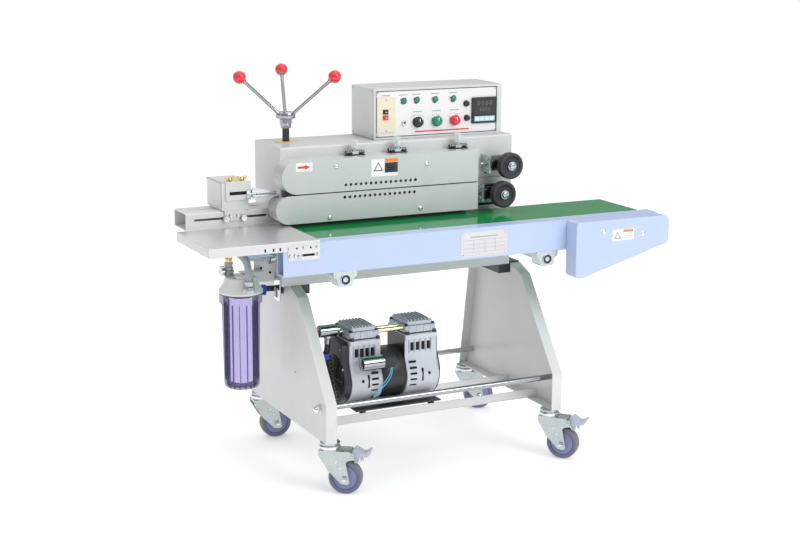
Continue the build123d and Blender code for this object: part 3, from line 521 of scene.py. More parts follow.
def make_caster(place):
    fork, wheel, pedal = "fork_" + place, "wheel_" + place, "pedal_" + place
    rounded("caster_fork_" + place, "zinc", 0.9, fork)
    race = Shape().turned(((6, 125), (12, 125), (20, 127.8), (6, 128)), (0, 0, 0))
    race.turned(((27.2, 136), (28.6, 137.5), (28.6, 143), (27.2, 144.5), (20, 146), (20, 136)), (0, 0, 0),
                segments=48, closed_ring=True)
    yawed(race, place).finish("race_" + place, "chrome", fork)
    cap = Shape()
    for side in (-1, 1):
        cap.turned(((0, 0), (5.6, 0), (5.2, 2.2), (3.4, 3.6), (0, 4)), (AXLE[0], side * 30, AXLE[2]),
                   (0, side, 0), 20)
        cap.turned(((0, 0), (2.6, 0), (2.2, 1.2), (0, 1.5)), (20, side * 24, 104), (0, side, 0), 16)
        cap.turned(((0, 0), (2.6, 0), (2.2, 1.2), (0, 1.5)), (30, side * 24, 88), (0, side, 0), 16)
    yawed(cap, place).finish("fork_caps_" + place, "chrome", fork)
    tread = Shape().turned(((41.4, -14.8), (43.2, -14), (44.6, -11.5), (45, -7), (45, 7), (44.6, 11.5),
                            (43.2, 14), (41.4, 14.8)), AXLE, REAR, 64, closed_ring=True)
    yawed(tread, place).finish("tread_" + place, "caster_tread", wheel)
    face = Shape().turned(((32.6, -13.4), (34, -15), (40.8, -15.2), (41.8, -14.4), (41.8, 14.4), (40.8, 15.2),
                           (34, 15), (32.6, 13.4)), AXLE, REAR, 64, closed_ring=True)
    yawed(face, place).finish("tire_face_" + place, "caster_face", wheel)
    # A dark ring in the tyre's groove: painted shade
    groove = Shape().turned(oblong(31.4, 33, -12.6, 12.6), AXLE, REAR, 64, closed_ring=True)
    yawed(groove, place).finish("tire_groove_" + place, "hole_shade", wheel)
    core = Shape().turned(((4.05, -17.5), (11, -17.5), (12.5, -15.5), (13, -13.6), (24, -12.6), (30, -13.6),
                           (31.8, -13.2), (31.8, 13.2), (30, 13.6), (24, 12.6), (13, 13.6), (12.5, 15.5),
                           (11, 17.5), (4.05, 17.5)), AXLE, REAR, 64, closed_ring=True)
    core = yawed(core, place).finish("core_" + place, "caster_core", wheel)
    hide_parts("caster_wheel_" + place)
    if place.startswith("front"):
        rounded("brake_pedal_" + place, "pedal_grey", 1.6, pedal, 3)
        shoe = Shape().turned(oblong(0, 3.3, 106, 117), (86, 0, 0), segments=16)
        shoe.turned(oblong(0, 4.8, 104.8, 110), (86, 0, 0), segments=6)
        yawed(shoe, place).finish("pedal_screw_" + place, "zinc", pedal)
        pin = Shape()
        for side in (-1, 1):
            pin.turned(((0, 0), (5, 0), (4.4, 2), (0, 3)), (62, side * 24, 121), (0, side, 0), 20)
        yawed(pin, place).finish("pedal_pin_" + place, "zinc", fork)


def make_casters():
    plates = Shape()
    for x, y, _ in CASTERS.values():
        plates.turned(((0, 153), (27, 153), (27, 150), (26, 147.2), (0, 147.2)), (x, y, 0), segments=48)
        plates.turned(oblong(0, 5, 122, 149), (x, y, 0), segments=20)
        plates.turned(oblong(0, 8, 121.5, 126.5), (x, y, 0), segments=6)
    plates = plates.finish("swivel_plates", "zinc", ROOT, 0.4)
    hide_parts("caster_plates")
    for place in CASTERS:
        make_caster(place)


# ---------------------------------------------------------------- casing and control box

CAPSTAN = (-327, 65)

def make_casing():
    rounded("casing", "body_paint", 2.2, ROOT, 3)
    rounded("rear_cover", "body_paint", 0.8, ROOT)
    ring = Shape().turned(oblong(11, 29, 906.9, 907.4), (*CAPSTAN, 0), closed_ring=True)
    ring.finish("capstan_ring", "yellow_paint", ROOT)
    low, high = span("casing")
    screws = Shape()
    for x in (low.x + 14, (low.x + high.x) / 2, high.x - 14):
        for z in (546, 890):
            dome_screw(screws, (x, 147, z), REAR, 4.5, 2.6)
    screws.finish("rear_screws", "zinc", ROOT)
    paint("seal_motor", "motor_grey")


def label(name, low, high, y, parts, body, face="label_white"):
    """A blank sticker on a face that looks to the front; parts are (material, x span, z span) from 0 to 1."""
    Shape().box((low[0], high[0]), (y - 0.5, y), (low[1], high[1])).finish(name, face, body, 0.15)
    wide, tall = high[0] - low[0], high[1] - low[1]
    grouped = {}
    for mat, x, z in parts:
        grouped.setdefault(mat, []).append((x, z))
    for mat, spans in grouped.items():
        marks = Shape()
        for x, z in spans:
            marks.box((low[0] + wide * x[0], low[0] + wide * x[1]), (y - 0.75, y - 0.4),
                      (low[1] + tall * z[0], low[1] + tall * z[1]))
        marks.finish(f"{name}_{mat}", mat, body)


LAMPS = ((-6, 1009), (34, 1010), (91, 1009), (148, 1009))
FUSES = ((190, 993), (192, 953))
SELECTORS = ((37, 949, "black_plastic"), (96, 949, "green_plastic"), (153, 949, "red_plastic"))
TOGGLE = (-5, 948)


def make_control_box():
    rounded("control_box", "body_paint", 1.2, ROOT, 3)
    face = -2.0
    plate = Shape().box((-90, 288), (face, 0), (911, 1038)).finish("panel_face", "panel_plate", ROOT, 0.3)
    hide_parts("control_panel")
    edge = Shape()
    for x in ((-90, -87.8), (285.8, 288)):
        edge.box(x, (face - 0.5, face + 0.5), (911, 1038))
    for z in ((911, 913.2), (1035.8, 1038)):
        edge.box((-90, 288), (face - 0.5, face + 0.5), z)
    edge.finish("panel_border", "panel_edge", ROOT, 0.2)
    breaker = Shape()
    breaker.box((-88, -32), (-6.4, face), (924, 960)).box((-88, -32), (-6.4, face), (987, 1020))
    breaker.box((-88, -70), (-6.4, face), (960, 987)).box((-54, -32), (-6.4, face), (960, 987))
    breaker.box((-70, -54), (-6.4, face), (971.2, 974.8))
    breaker.finish("breaker_plate", "cream_plastic", ROOT, 0.7)
    screws = Shape()
    for z in (930, 1014):
        dome_screw(screws, (-60, -6.2, z), FRONT, 3, 1.2)
    for x, z in ((-84, 915), (282, 915), (-84, 1033), (282, 1033)):
        dome_screw(screws, (x, face, z), FRONT, 2.6, 1.6)
    for x in (-96, 303):
        for y, z in ((8, 1037), (8, 914), (132, 1037), (132, 914)):
            dome_screw(screws, (x, y, z), (-1 if x < 0 else 1, 0, 0), 3.2, 1.8)
    screws.finish("box_screws", "zinc", ROOT)

    rims, lenses, ticks = Shape(), Shape(), Shape()
    for x, z in LAMPS:
        rims.turned(((11, 0), (11, 1.6), (9.4, 3), (8.2, 1.0)), (x, face, z), FRONT, 32)
        lenses.turned(((8.1, 0), (8.1, 3), (7.4, 5.4), (5.0, 7.4), (2.6, 8.2), (0, 8.4)), (x, face, z), FRONT,
                      32)
    rims.finish("lamp_rims", "chrome", ROOT)
    lenses.finish("lamp_lenses", "green_lens", ROOT, angle=60)
    fuses = Shape()
    for x, z in FUSES:
        fuses.turned(((9, 0), (9, 2), (7, 3), (6.6, 10), (6, 11), (0, 11)), (x, face, z), FRONT, 24)
        fuses.box((x - 0.7, x + 0.7), (face - 11.4, face - 10.8), (z - 5, z + 5))
    fuses.finish("fuse_caps", "black_plastic", ROOT, 0.2)
    for x, z, _ in SELECTORS:
        rims_ring = Shape().turned(((15.4, 0), (15.4, 0.8), (14.2, 1.2), (0, 1.2)), (x, face, z), FRONT, 40)
        rims_ring.finish(f"dial_{x}", "chrome", ROOT)
        for index in range(-4, 5):
            angle = radians(index * 30)
            middle = Vector((x + 19 * sin(angle), face - 0.1, z + 19 * cos(angle)))
            turn = Matrix.Rotation(angle, 3, "Y")
            tick = [turn @ Vector((a, 0, b)) + middle for a, b in oblong(-0.5, 0.5, -1.6, 1.6)]
            ticks.prism([(p.x, p.z) for p in tick], "Y", face - 0.25, face + 0.1)
    ticks.finish("dial_ticks", "label_grey", ROOT)
    bars = Shape()
    for x in (-60, -6, 34, 91, 148):
        bars.box((x - 13, x + 13), (face - 0.2, face), (1024, 1026.5))
    for x in (37, 96, 153):
        bars.box((x - 14, x + 14), (face - 0.2, face), (976, 978.5))
    bars.finish("caption_bars", "label_grey", ROOT)
    stripe = Shape().box((30, 200), (face - 0.2, face), (920, 924))
    stripe.finish("red_stripe", "label_red", ROOT)
    bush = Shape().turned(((4.2, 0), (7.5, 0), (7.5, 2), (5.6, 3.2), (5.6, 7), (3.2, 7.4), (3.0, 1)),
                          (TOGGLE[0], face, TOGGLE[1]), FRONT, 30)
    bush.finish("toggle_bush", "chrome", ROOT)
    make_controller(face)
    make_knobs()


def make_controller(face):
    x0, x1, z0, z1 = 207, 286, 936, 1009
    Shape().box((x0, x1), (-8.6, face), (z0, z1)).finish("controller_case", "black_plastic", ROOT, 1.4, 3)
    Shape().box((x0 + 7, x1 - 7), (-9.0, -8),
                (z0 + 26, z1 - 7)).finish("controller_screen", "screen_dark", ROOT, 0.3)
    Shape().box((x0 + 7, x1 - 7), (-9.0, -8),
                (z0 + 6, z0 + 20)).finish("controller_strip", "key_blue", ROOT, 0.4)
    keys = Shape()
    for index in range(4):
        low = x0 + 10 + index * 15.6
        keys.box((low, low + 11), (-9.6, -8.6), (z0 + 8.5, z0 + 17))
    keys.finish("controller_keys", "white_plastic", ROOT, 0.5)
    for row, (mat, size, z) in enumerate((("digit_red", 1.0, z1 - 21), ("digit_green", 0.72, z1 - 38))):
        digits = Shape()
        for index in range(4):
            seven_segments(digits, x0 + 16 + index * 13 * size + (1 - size) * 26, z, 7.5 * size, 10 * size)
        digits.finish(f"controller_digits_{row}", mat, ROOT)


def seven_segments(shape, x, z, wide, tall):
    t = wide * 0.16
    y = (-9.25, -9.0)
    for bottom in (0, tall / 2, tall):
        shape.box((x + t, x + wide - t), y, (z + bottom - t / 2, z + bottom + t / 2))
    for left in (x, x + wide - t):
        for bottom in (0, tall / 2):
            shape.box((left, left + t), y, (z + bottom + t, z + bottom + tall / 2 - t))


def make_knobs():
    for index, (x, z, mat) in enumerate(SELECTORS, 1):
        body = f"selector_knob_{index}"
        knob = Shape().turned(((15.2, 1.2), (15.4, 5), (14.8, 6.5), (12.6, 7.2), (10.6, 17.4), (9.6, 18),
                               (0, 18)), (x, -2, z), FRONT, 48)
        for rib in range(16):
            turn = Matrix.Rotation(rib * pi / 8, 3, "Y")
            corner = [turn @ Vector((a, 0, b)) for a, b in oblong(-0.9, 0.9, 10, 12.1)]
            knob.prism([(x + p.x, z + p.z) for p in corner], "Y", -19, -9)
        knob = knob.finish(f"knob_{index}", mat, body, 0.3)
        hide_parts(body)
        Shape().box((x - 0.8, x + 0.8), (-20.6, -19.9),
                    (z + 1.5, z + 10)).finish(f"knob_line_{index}", "label_white", body)
    paint("toggle_lever", "chrome")
    for node, z, mat in (("start_button", 981, "black_plastic"), ("stop_button", 965, "red_plastic")):
        rounded(node, mat, 1.0, node, 3)
        Shape().box((-64.5, -59.5), (-11.15, -10.9),
                    (z - 0.8, z + 0.8)).finish(node + "_mark", "label_white", node)


# ---------------------------------------------------------------- sealing head

COVER_FRONT = -98


def make_head():
    rounded("upper_cover", "cover_paint", 0.9, ROOT, 3)
    rounded("lower_cover", "cover_paint", 0.9, ROOT, 3)
    screws = Shape()
    for x, z in ((-250, 855), (18, 848), (-270, 720), (0, 726)):
        dome_screw(screws, (x, COVER_FRONT, z), FRONT, 6.5, 3.2)
    screws.finish("cover_screws", "chrome", ROOT, angle=50)
    label("arrow_label", (-366, 848), (-319, 871), COVER_FRONT, (), ROOT)
    arrow = Shape()
    arrow.prism(((-361, 856.5), (-341, 856.5), (-341, 853), (-325, 859.5), (-341, 866), (-341, 862.5),
                 (-361, 862.5)), "Y", -98.8, -98.4)
    arrow.finish("arrow_mark", "label_red", ROOT)
    label("guard_label", (-148, 821), (-70, 868), COVER_FRONT,
          (("label_orange", (0.5, 1.0), (0.80, 1.0)), ("label_dark", (0.5, 1.0), (0.20, 0.78)),
           ("label_white", (0.55, 0.9), (0.60, 0.64)), ("label_white", (0.55, 0.9), (0.46, 0.50)),
           ("label_white", (0.55, 0.85), (0.32, 0.36))), ROOT)
    sign = Shape()
    sign.prism(((-142, 836), (-114, 836), (-128, 860)), "Y", -98.8, -98.4)
    sign.finish("guard_sign", "label_dark", ROOT)
    inner = Shape()
    inner.prism(((-138, 838.5), (-118, 838.5), (-128, 855.5)), "Y", -99.0, -98.7)
    inner.finish("guard_sign_inner", "label_white", ROOT)
    for node in ("upper_pulley_left", "upper_pulley_right", "lower_pulley_left", "lower_pulley_right",
                 "heating_blocks"):
        paint(node, "steel")
    paint("sealing_bands", "seal_band")
    gap = Shape().box((-360, 176), (-94, -92), (786.0, 786.8))
    gap.finish("band_shadow", "hole_shade", ROOT)
    make_press_wheels()
    make_adjusters()


def make_press_wheels():
    arms, brackets = Shape(), Shape()
    for x, z in ((273, 827), (252, 748)):
        level = z + 3
        arms.turned(((0, x - 46), (20, x - 46), (22, x - 44), (22, x + 12), (20.5, x + 14), (0, x + 14)),
                    (0, -64, level), RIGHT, 56)
        brackets.box((x - 52, x - 46), (-86, -38), (level - 24, level + 24))
        brackets.turned(oblong(0, 4, x - 68, x - 50), (0, -64, level), RIGHT, 20)
        hex_bolt(brackets, (x - 52, -64, level), LEFT, 12, 6)
        for side in (-1, 1):
            hex_bolt(brackets, (x - 52, -76, level + side * 15), LEFT, 8, 4)
        brackets.turned(oblong(0, 5, 64, 126), (x, 0, z), FRONT, 24)
        brackets.turned(oblong(5, 11.5, 119, 123), (x, 0, z), FRONT, 32, closed_ring=True)
        hex_bolt(brackets, (x, -122.7, z), FRONT, 17, 7)
    arms = arms.finish("wheel_arms", "black_gloss", ROOT)
    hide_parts("press_arms")
    brackets.finish("arm_brackets", "zinc", ROOT, 0.5)
    slit = Shape().box((186, 318), (-38.6, -37.4), (786, 788.4))
    slit.finish("casing_slit", "seal_band", ROOT)
    slots = Shape().box((215, 262), (-38.5, -37.4), (708, 714))
    slots.turned(oblong(0, 3.4, -0.3, 0.5), (236, -38, 801), FRONT, 20)
    slots.finish("casing_slots", "hole_shade", ROOT)
    for name, x, z in (("upper", 273, 827), ("lower", 252, 748)):
        body = "press_wheel_" + name
        wheel = Shape().turned(((5.05, -12), (13, -12), (13.5, -8.5), (15, -7), (22, -7), (25, -8.5),
                                (26, -10.5), (28, -11.8), (33, -12.2), (35.5, -11.2), (36.8, -9), (37, 0),
                                (36.8, 9), (35.5, 11.2), (33, 12.2), (28, 12), (5.05, 12)), (x, -110, z),
                               REAR, 72, closed_ring=True)
        wheel = wheel.finish(f"roller_{name}", "black_rubber", body)
        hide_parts(body)
        sleeve = Shape().turned(oblong(5.2, 12.6, 0, 0.8), (x, -122, z), FRONT, closed_ring=True)
        sleeve.finish(f"roller_sleeve_{name}", "zinc", body)


ADJUSTERS = (-180, -53, 134)


def make_adjusters():
    bases, dark = Shape(), Shape()
    for index, x in enumerate(ADJUSTERS, 1):
        dark.box((x - 27, x + 27), (-71, -49), (877, 879.4))
        bases.box((x - 9, x + 9), (-66, -54), (880, 888))
        bases.turned(((8, 888), (7.6, 892.5), (3.1, 893)), (x, -60, 0), segments=24)
        for side in (-1, 1):
            for ring in range(4):
                middle = x + side * (11 + 4.6 * ring)
                bases.turned(((0, -1), (5.8, -1), (6.2, 0), (5.8, 1), (0, 1)), (middle, -60, 885.4), RIGHT,
                             24)
            low, high = sorted((x + side * 9, x + side * 27))
            dark.turned(oblong(0, 5.4, low, high), (0, -60, 885.4), RIGHT, 20)
        body = f"pressure_knob_{index}"
        points = []
        for step in range(36):
            angle = 2 * pi * step / 36
            radius = 10.8 + 0.9 * cos(6 * angle)
            points.append((x + radius * cos(angle), -60 + radius * sin(angle)))
        knob = Shape().prism(points, "Z", 896, 920).finish(f"clear_knob_{index}", "clear_acrylic", body, 0.8,
                                                           2, 50)
        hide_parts(body)
        stud = Shape().turned(oblong(0, 2.9, 881, 912), (x, -60, 0), segments=16)
        stud.finish(f"knob_stud_{index}", "zinc", body)
    bases = bases.finish("adjuster_blocks", "zinc", ROOT, 0.4)
    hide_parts("adjuster_bases")
    dark.finish("adjuster_cores", "black_plastic", ROOT)


# ---------------------------------------------------------------- capstan

BALL_R = 17.3


def make_capstan():
    x, y = CAPSTAN
    body = "capstan"
    Shape().turned(oblong(0, 9.5, 560, 946), (x, y, 0)).finish("stem", "black_paint", body, 0.3)
    hub = Shape().turned(((0, 943), (13, 943), (14.5, 945), (15.5, 953), (17, 965), (20, 968.5), (26, 970),
                          (27, 972), (27, 982), (26, 984.5), (22, 986), (14, 987), (0, 987.4)), (x, y, 0),
                         segments=56)
    hub.box((x + 15, x + 18.5), (y - 2.5, y + 2.5), (956, 961))
    hub = hub.finish("hub", "shaded_chrome", body)
    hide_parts("capstan_handle")
    for index, azimuth in enumerate((-48, 72, 192), 1):
        angle = radians(azimuth)
        start = Vector((x + 16 * cos(angle), y + 16 * sin(angle), 978))
        end = Vector((x + 145 * cos(angle), y + 145 * sin(angle), 1087))
        aim = (end - start).normalized()
        length = (end - start).length
        spoke = Shape().turned(((0, 0), (5.6, 0), (5.6, 9), (4.5, 11), (4.5, length - 14), (0, length - 14)),
                               start, aim, 28)
        spoke.finish(f"spoke_{index}", "shaded_chrome", body)
        profile = [(BALL_R * sin(step * pi / 20), -BALL_R * cos(step * pi / 20)) for step in range(21)]
        profile[0] = (0, -BALL_R)
        profile[-1] = (0, BALL_R)
        Shape().turned(profile, end, aim, 48).finish(f"ball_{index}", "red_gloss", body, angle=60)
        collar = Shape().turned(((5, 0), (7.2, 0.6), (7.2, 4), (5, 5)), end - aim * 19.5, aim, 24)
        collar.finish(f"ball_collar_{index}", "shaded_chrome", body)


# ---------------------------------------------------------------- conveyor and infeed table

def rounded_outline(corners, radii, steps=6):
    """Rounds the corners of a polygon given in order, each with its own radius."""
    made = []
    count = len(corners)
    for index in range(count):
        here = Vector(corners[index])
        before = (Vector(corners[index - 1]) - here).normalized()
        after = (Vector(corners[(index + 1) % count]) - here).normalized()
        half = before.angle(after) / 2
        radius = radii[index]
        reach = radius / (sin(half) / cos(half))
        centre = here + (before + after).normalized() * (radius / sin(half))
        first = here + before * reach - centre
        last = here + after * reach - centre
        turn = first.angle_signed(last)
        for step in range(steps + 1):
            point = first.copy()
            point.rotate(Matrix.Rotation(-turn * step / steps, 2))
            made.append(tuple(centre + point))
    return made


RAIL_FRONT = -295
DRIVE_FRONT = -347


def make_conveyor():
    body = "conveyor"
    rounded("conveyor_frame", "rail_paint", 1.2, body, 3)
    paint("drive_roller", "steel")
    paint("idle_roller", "steel")
    paint("conveyor_belt", "belt_green")
    gap = Shape().box((505, 610), (-251.5, -249.2), (696.2, 698.2))
    gap.finish("belt_gap", "hole_shade", body)
    blocks, holes = Shape(), Shape()
    for x in (-314, 287):
        outline = rounded_outline(((x - 34, 617.4), (x + 34, 617.4), (x + 32, 603), (x + 23.5, 599),
                                   (x + 20.5, 577.5), (x - 20.5, 577.5), (x - 23.5, 599), (x - 32, 603)),
                                  (2, 2, 3, 5, 10, 10, 5, 3))
        blocks.prism(outline, "Y", RAIL_FRONT, -250.5)
        blocks.turned(((14, 0), (14, 2.5), (12.4, 2.5), (12.0, -1)), (x, RAIL_FRONT, 596), FRONT, 36)
        holes.turned(((12.2, -0.5), (12.2, 1.2), (8.5, 1.8), (5.5, 0.6), (0, 0.6)), (x, RAIL_FRONT, 596),
                     FRONT, 36)
        for side in (-1, 1):
            hex_bolt(blocks, (x + side * 25, -281, 604.5), (0, 0, -1), 9, 5)
    blocks.finish("shaft_blocks", "zinc", body, 0.6)
    holes.finish("shaft_caps", "black_plastic", body, 0.2)
    outer = rounded_outline(((346.5, 699.5), (649.5, 699.5), (649.5, 622), (372, 544.5), (346.5, 544.5)),
                            (13, 20, 16, 12, 12))
    outer = outer if polygon_area(outer) > 0 else list(reversed(outer))
    cover = Shape().prism(outer, "Y", DRIVE_FRONT, -294.2)
    cover = cover.finish("drive_cover", "rail_paint", body, 2.6, 4)
    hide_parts("motor_cover")
    screws = Shape()
    for x, z in ((434, 668), (562, 653)):
        dome_screw(screws, (x, DRIVE_FRONT, z), FRONT, 6, 1.9)
    screws.finish("drive_cover_screws", "chrome", body, angle=50)
    label("drive_label", (462, 640), (531, 671), -346.9,
          (("label_orange", (0.5, 0.97), (0.74, 0.95)), ("label_grey", (0.55, 0.9), (0.52, 0.56)),
           ("label_grey", (0.55, 0.9), (0.36, 0.40)), ("label_grey", (0.55, 0.8), (0.20, 0.24))), body)
    sign = Shape().prism(((467, 646), (489, 646), (478, 664)), "Y", -347.7, -347.3)
    sign.finish("drive_sign", "label_dark", body)
    Shape().prism(((470, 647.6), (486, 647.6), (478, 660.8)), "Y", -347.85,
                  -347.6).finish("drive_sign_inner", "label_white", body)
    make_nameplate(body)


def polygon_area(points):
    pairs = zip(points, points[1:] + points[:1])
    return sum(a[0] * b[1] - b[0] * a[1] for a, b in pairs) / 2


def make_nameplate(body):
    outline = rounded_outline(oblong(20, 160, 622, 690), (7, 7, 7, 7), 4)
    Shape().prism(outline, "Y", -294.9, -293.9).finish("nameplate", "stainless", body, 0.2)
    lines = Shape()
    for z in (634, 645, 656, 667):
        lines.box((26, 154), (-295.1, -294.8), (z, z + 0.8))
    for x in (58, 92, 124):
        lines.box((x, x + 0.8), (-295.1, -294.8), (634, 667))
    lines.box((26, 154), (-295.1, -294.8), (626.4, 627)).box((48, 132), (-295.1, -294.8), (674, 677))
    lines.finish("nameplate_lines", "label_grey", body)
    screws = Shape()
    for x in (26, 154):
        for z in (628, 684):
            dome_screw(screws, (x, -294.9, z), FRONT, 2.4, 1.2)
    screws.finish("nameplate_rivets", "zinc", body)


def make_table():
    body = "conveyor"
    rounded("infeed_table", "stainless", 0.8, body)
    bolts, dark = Shape(), Shape()
    for x, z, r in ((-464, 670, 5.4), (-389, 670, 5.4)):
        dome_screw(bolts, (x, -296, z), FRONT, r, 3)
    hex_bolt(bolts, (-441, -296, 669), FRONT, 13, 6.5)
    for x in (-468, -428, -392):
        dome_screw(bolts, (x, -296, 689), FRONT, 4, 2.4)
    for x in (-448, -410):
        dark.turned(oblong(0, 2.6, -0.3, 0.2), (x, -296, 689), FRONT, 20)
    for x in (-532, -510, -492):
        dark.box((x - 2, x + 2), (-295.8, -294.8), (686, 694))
    dark.box((-436, -399), (-294.9, -294.4), (667, 673))
    bolts.finish("table_bolts", "zinc", body, angle=50)
    dark.finish("table_slots", "hole_shade", body)


# ---------------------------------------------------------------- nozzle rail and carriage

def make_nozzle():
    rounded("nozzle_rail", "stand_paint", 0.8, ROOT)
    body = "nozzle_carriage"
    saddle = Shape()
    saddle.box((-549, -546.5), (-29, 79), (747, 822)).box((-549, -472), (-29, 79), (819.5, 822))
    saddle.box((-549, -472), (-29, -26.5), (747, 822)).box((-549, -472), (76.5, 79), (747, 822))
    saddle.box((-540, -480), (-29, -26.5), (718, 747))
    saddle = saddle.finish("saddle", "stand_paint", body, 1.1)
    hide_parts("nozzle_carriage")
    plate = Shape()
    plate.box((-537, -467), (-32.6, -29.2), (796, 823)).box((-537, -467), (-32.6, -29.2), (773, 787))
    plate.box((-537, -526), (-32.6, -29.2), (787, 796))
    plate.finish("slotted_plate", "stand_paint", body, 0.7)
    Shape().box((-526, -468), (-30.6, -29.4), (787, 796)).finish("plate_slot", "hole_shade", body)
    blades = Shape()
    blades.box((-475, -399), (-77.5, -33.5), (785.8, 786.4)).box((-475, -399), (-77.5, -33.5), (786.7, 787.2))
    blades.prism(((-480, 779), (-455, 779), (-445, 783), (-445, 790), (-455, 799), (-480, 799)), "Y", -36,
                 -32.8)
    blades.finish("nozzle_blades", "zinc", body, 0.2)
    guides = Shape()
    guides.prism(((-467, 776), (-400, 781), (-398, 784), (-467, 783.5)), "Y", -42, -38.5)
    guides.prism(((-467, 790), (-398, 789), (-400, 793), (-467, 806)), "Y", -42, -38.5)
    guides.finish("nozzle_guides", "stainless", body, 0.6)
    nuts, brass = Shape(), Shape()
    for x in (-537, -488):
        nuts.turned(((4, 0), (9, 0.5), (9, 7.5), (8, 8.6), (4, 8.8), (0, 8.8)), (x, -29, 726), FRONT, 20)
    for x in (-523, -503):
        hex_bolt(nuts, (x, -29, 733), FRONT, 9, 5)
    nuts.finish("thumb_nuts", "steel", body, 0.5)
    for x in (-520, -487):
        brass.turned(((0, 822), (5.6, 822), (5.0, 826), (4.2, 831), (2.6, 833), (0, 833)), (x, -18, 0),
                     segments=24)
        for side in (-1, 1):
            turn = Matrix.Rotation(side * radians(42), 3, "Y")
            wing = [turn @ Vector(p) for p in ((-3.2, 0, 0), (3.2, 0, 0), (4.4, 0, 9), (2.4, 0, 12.5),
                                               (-2.4, 0, 12.5), (-4.4, 0, 9))]
            brass.prism([(x + side * 4 + p.x, 825 + p.z) for p in wing], "Y", -19.4, -16.6)
    brass.finish("wing_nuts", "brass", body, 0.7)


# ---------------------------------------------------------------- pump

PUMP_Y = -54
PUMP_Z = 265
HOUSING_R = 75
LEFT_BLOCK = (-219, -125)
RIGHT_BLOCK = (-51, 49)


def make_pump_casting(name, x):
    """One cylinder casting: a round lower housing, a ribbed square barrel, slots and windows."""
    outline = [(PUMP_Y + HOUSING_R * cos(radians(a)),
                PUMP_Z + HOUSING_R * sin(radians(a))) for a in range(-180, 1, 6)]
    outline += [(2, PUMP_Z + 48), (2, 376.8), (-110, 376.8), (-110, PUMP_Z + 50)]
    Shape().prism(outline, "X", x[0] + 0.3, x[1] - 0.3).finish(name, "cast_alloy", ROOT, 1.6, 2)
    wide = x[1] - x[0]
    ribs, dark = Shape(), Shape()
    for index in range(5):
        middle = x[0] + wide * (0.135 + 0.17 * index)
        ribs.prism(((-113.8, 328), (-113.8, 372), (-109, 374), (-109, 318)), "X", middle - 1.4, middle + 1.4)
    ribs.box((x[0] + 1, x[1] - 1), (-113.6, -108), (362, 375))
    ribs.finish(name + "_ribs", "cast_alloy", ROOT, 0.5)
    for index in range(4):
        middle = x[0] + wide * (0.22 + 0.17 * index)
        dark.box((middle - 4.6, middle + 4.6), (-111.6, -109.8), (330, 353))
    for index in range(5):
        z = 300 - index * 16
        depth = (HOUSING_R ** 2 - (z - PUMP_Z) ** 2) ** 0.5
        start = x[1] - 34 if x[0] < -100 else x[0] + 10
        dark.box((start, start + 20), (PUMP_Y - depth - 0.4, PUMP_Y - depth + 3), (z - 2.6, z + 2.6))
    middle = (x[0] + x[1]) / 2 + (4 if x[0] < -100 else -2)
    dark.box((middle - 2, middle + 2), (PUMP_Y - HOUSING_R - 0.3, PUMP_Y - 70), (245, 280))
    dark.turned(oblong(0, 4.2, -0.4, 3), (middle + (-18 if x[0] < -100 else 20), PUMP_Y - HOUSING_R, PUMP_Z),
                REAR, 20)
    dark.finish(name + "_slots", "hole_shade", ROOT)
    if x[0] > -100:
        plate = Shape().box((x[1] - 0.3, x[1] + 2), (-109, -20), (PUMP_Z + 44, 372))
        plate.finish("end_plate", "black_paint", ROOT, 0.4)
    rim = Shape().turned(oblong(71, 75.4, -1, 1.2), (x[1], PUMP_Y, PUMP_Z), RIGHT, 72,
                         closed_ring=True)
    rim.finish(name + "_rim", "black_plastic", ROOT)


def make_pump_head(name, x):
    head = Shape()
    head.prism(rounded_outline(oblong(x[0] + 2, x[1] - 2, -108, 0), (9, 9, 9, 9), 4),
               "Z", 379, 399)
    head.prism(rounded_outline(oblong(x[0] + 9, x[1] - 9, -102, -6), (7, 7, 7, 7), 4),
               "Z", 399, 410)
    head = head.finish(name, "head_alloy", ROOT, 2.0, 2)
    fins = Shape()
    for index in range(7):
        low = x[0] + 16 + index * (x[1] - x[0] - 36) / 6
        fins.prism(((-100, 409), (-97, 414.5), (-50, 415.8), (-10, 414), (-8, 409)), "X", low - 1.4,
                   low + 1.4)
    for index in range(4):
        low = x[0] + 14 + index * (x[1] - x[0] - 34) / 3
        fins.box((low, low + 7), (-109.6, -107), (380, 397))
    fins.finish(name + "_fins", "head_alloy", ROOT, 0.6)
    bolts = Shape()
    for bx in (x[0] + 9, x[1] - 9):
        for by in (-101, -7):
            bolts.turned(oblong(0, 6.5, 376, 384), (bx, by - (6.5 if by < -50 else -6.5), 0), segments=20)
            hex_bolt(bolts, (bx, by, 399), (0, 0, 1), 9, 5)
    bolts.finish(name + "_bolts", "black_plastic", ROOT, 0.4)
    gasket = Shape().box((x[0] + 0.6, x[1] - 0.6), (-109.4, 1.4), (376.6, 379.2))
    gasket.finish(name + "_gasket", "black_rubber", ROOT)
    return head


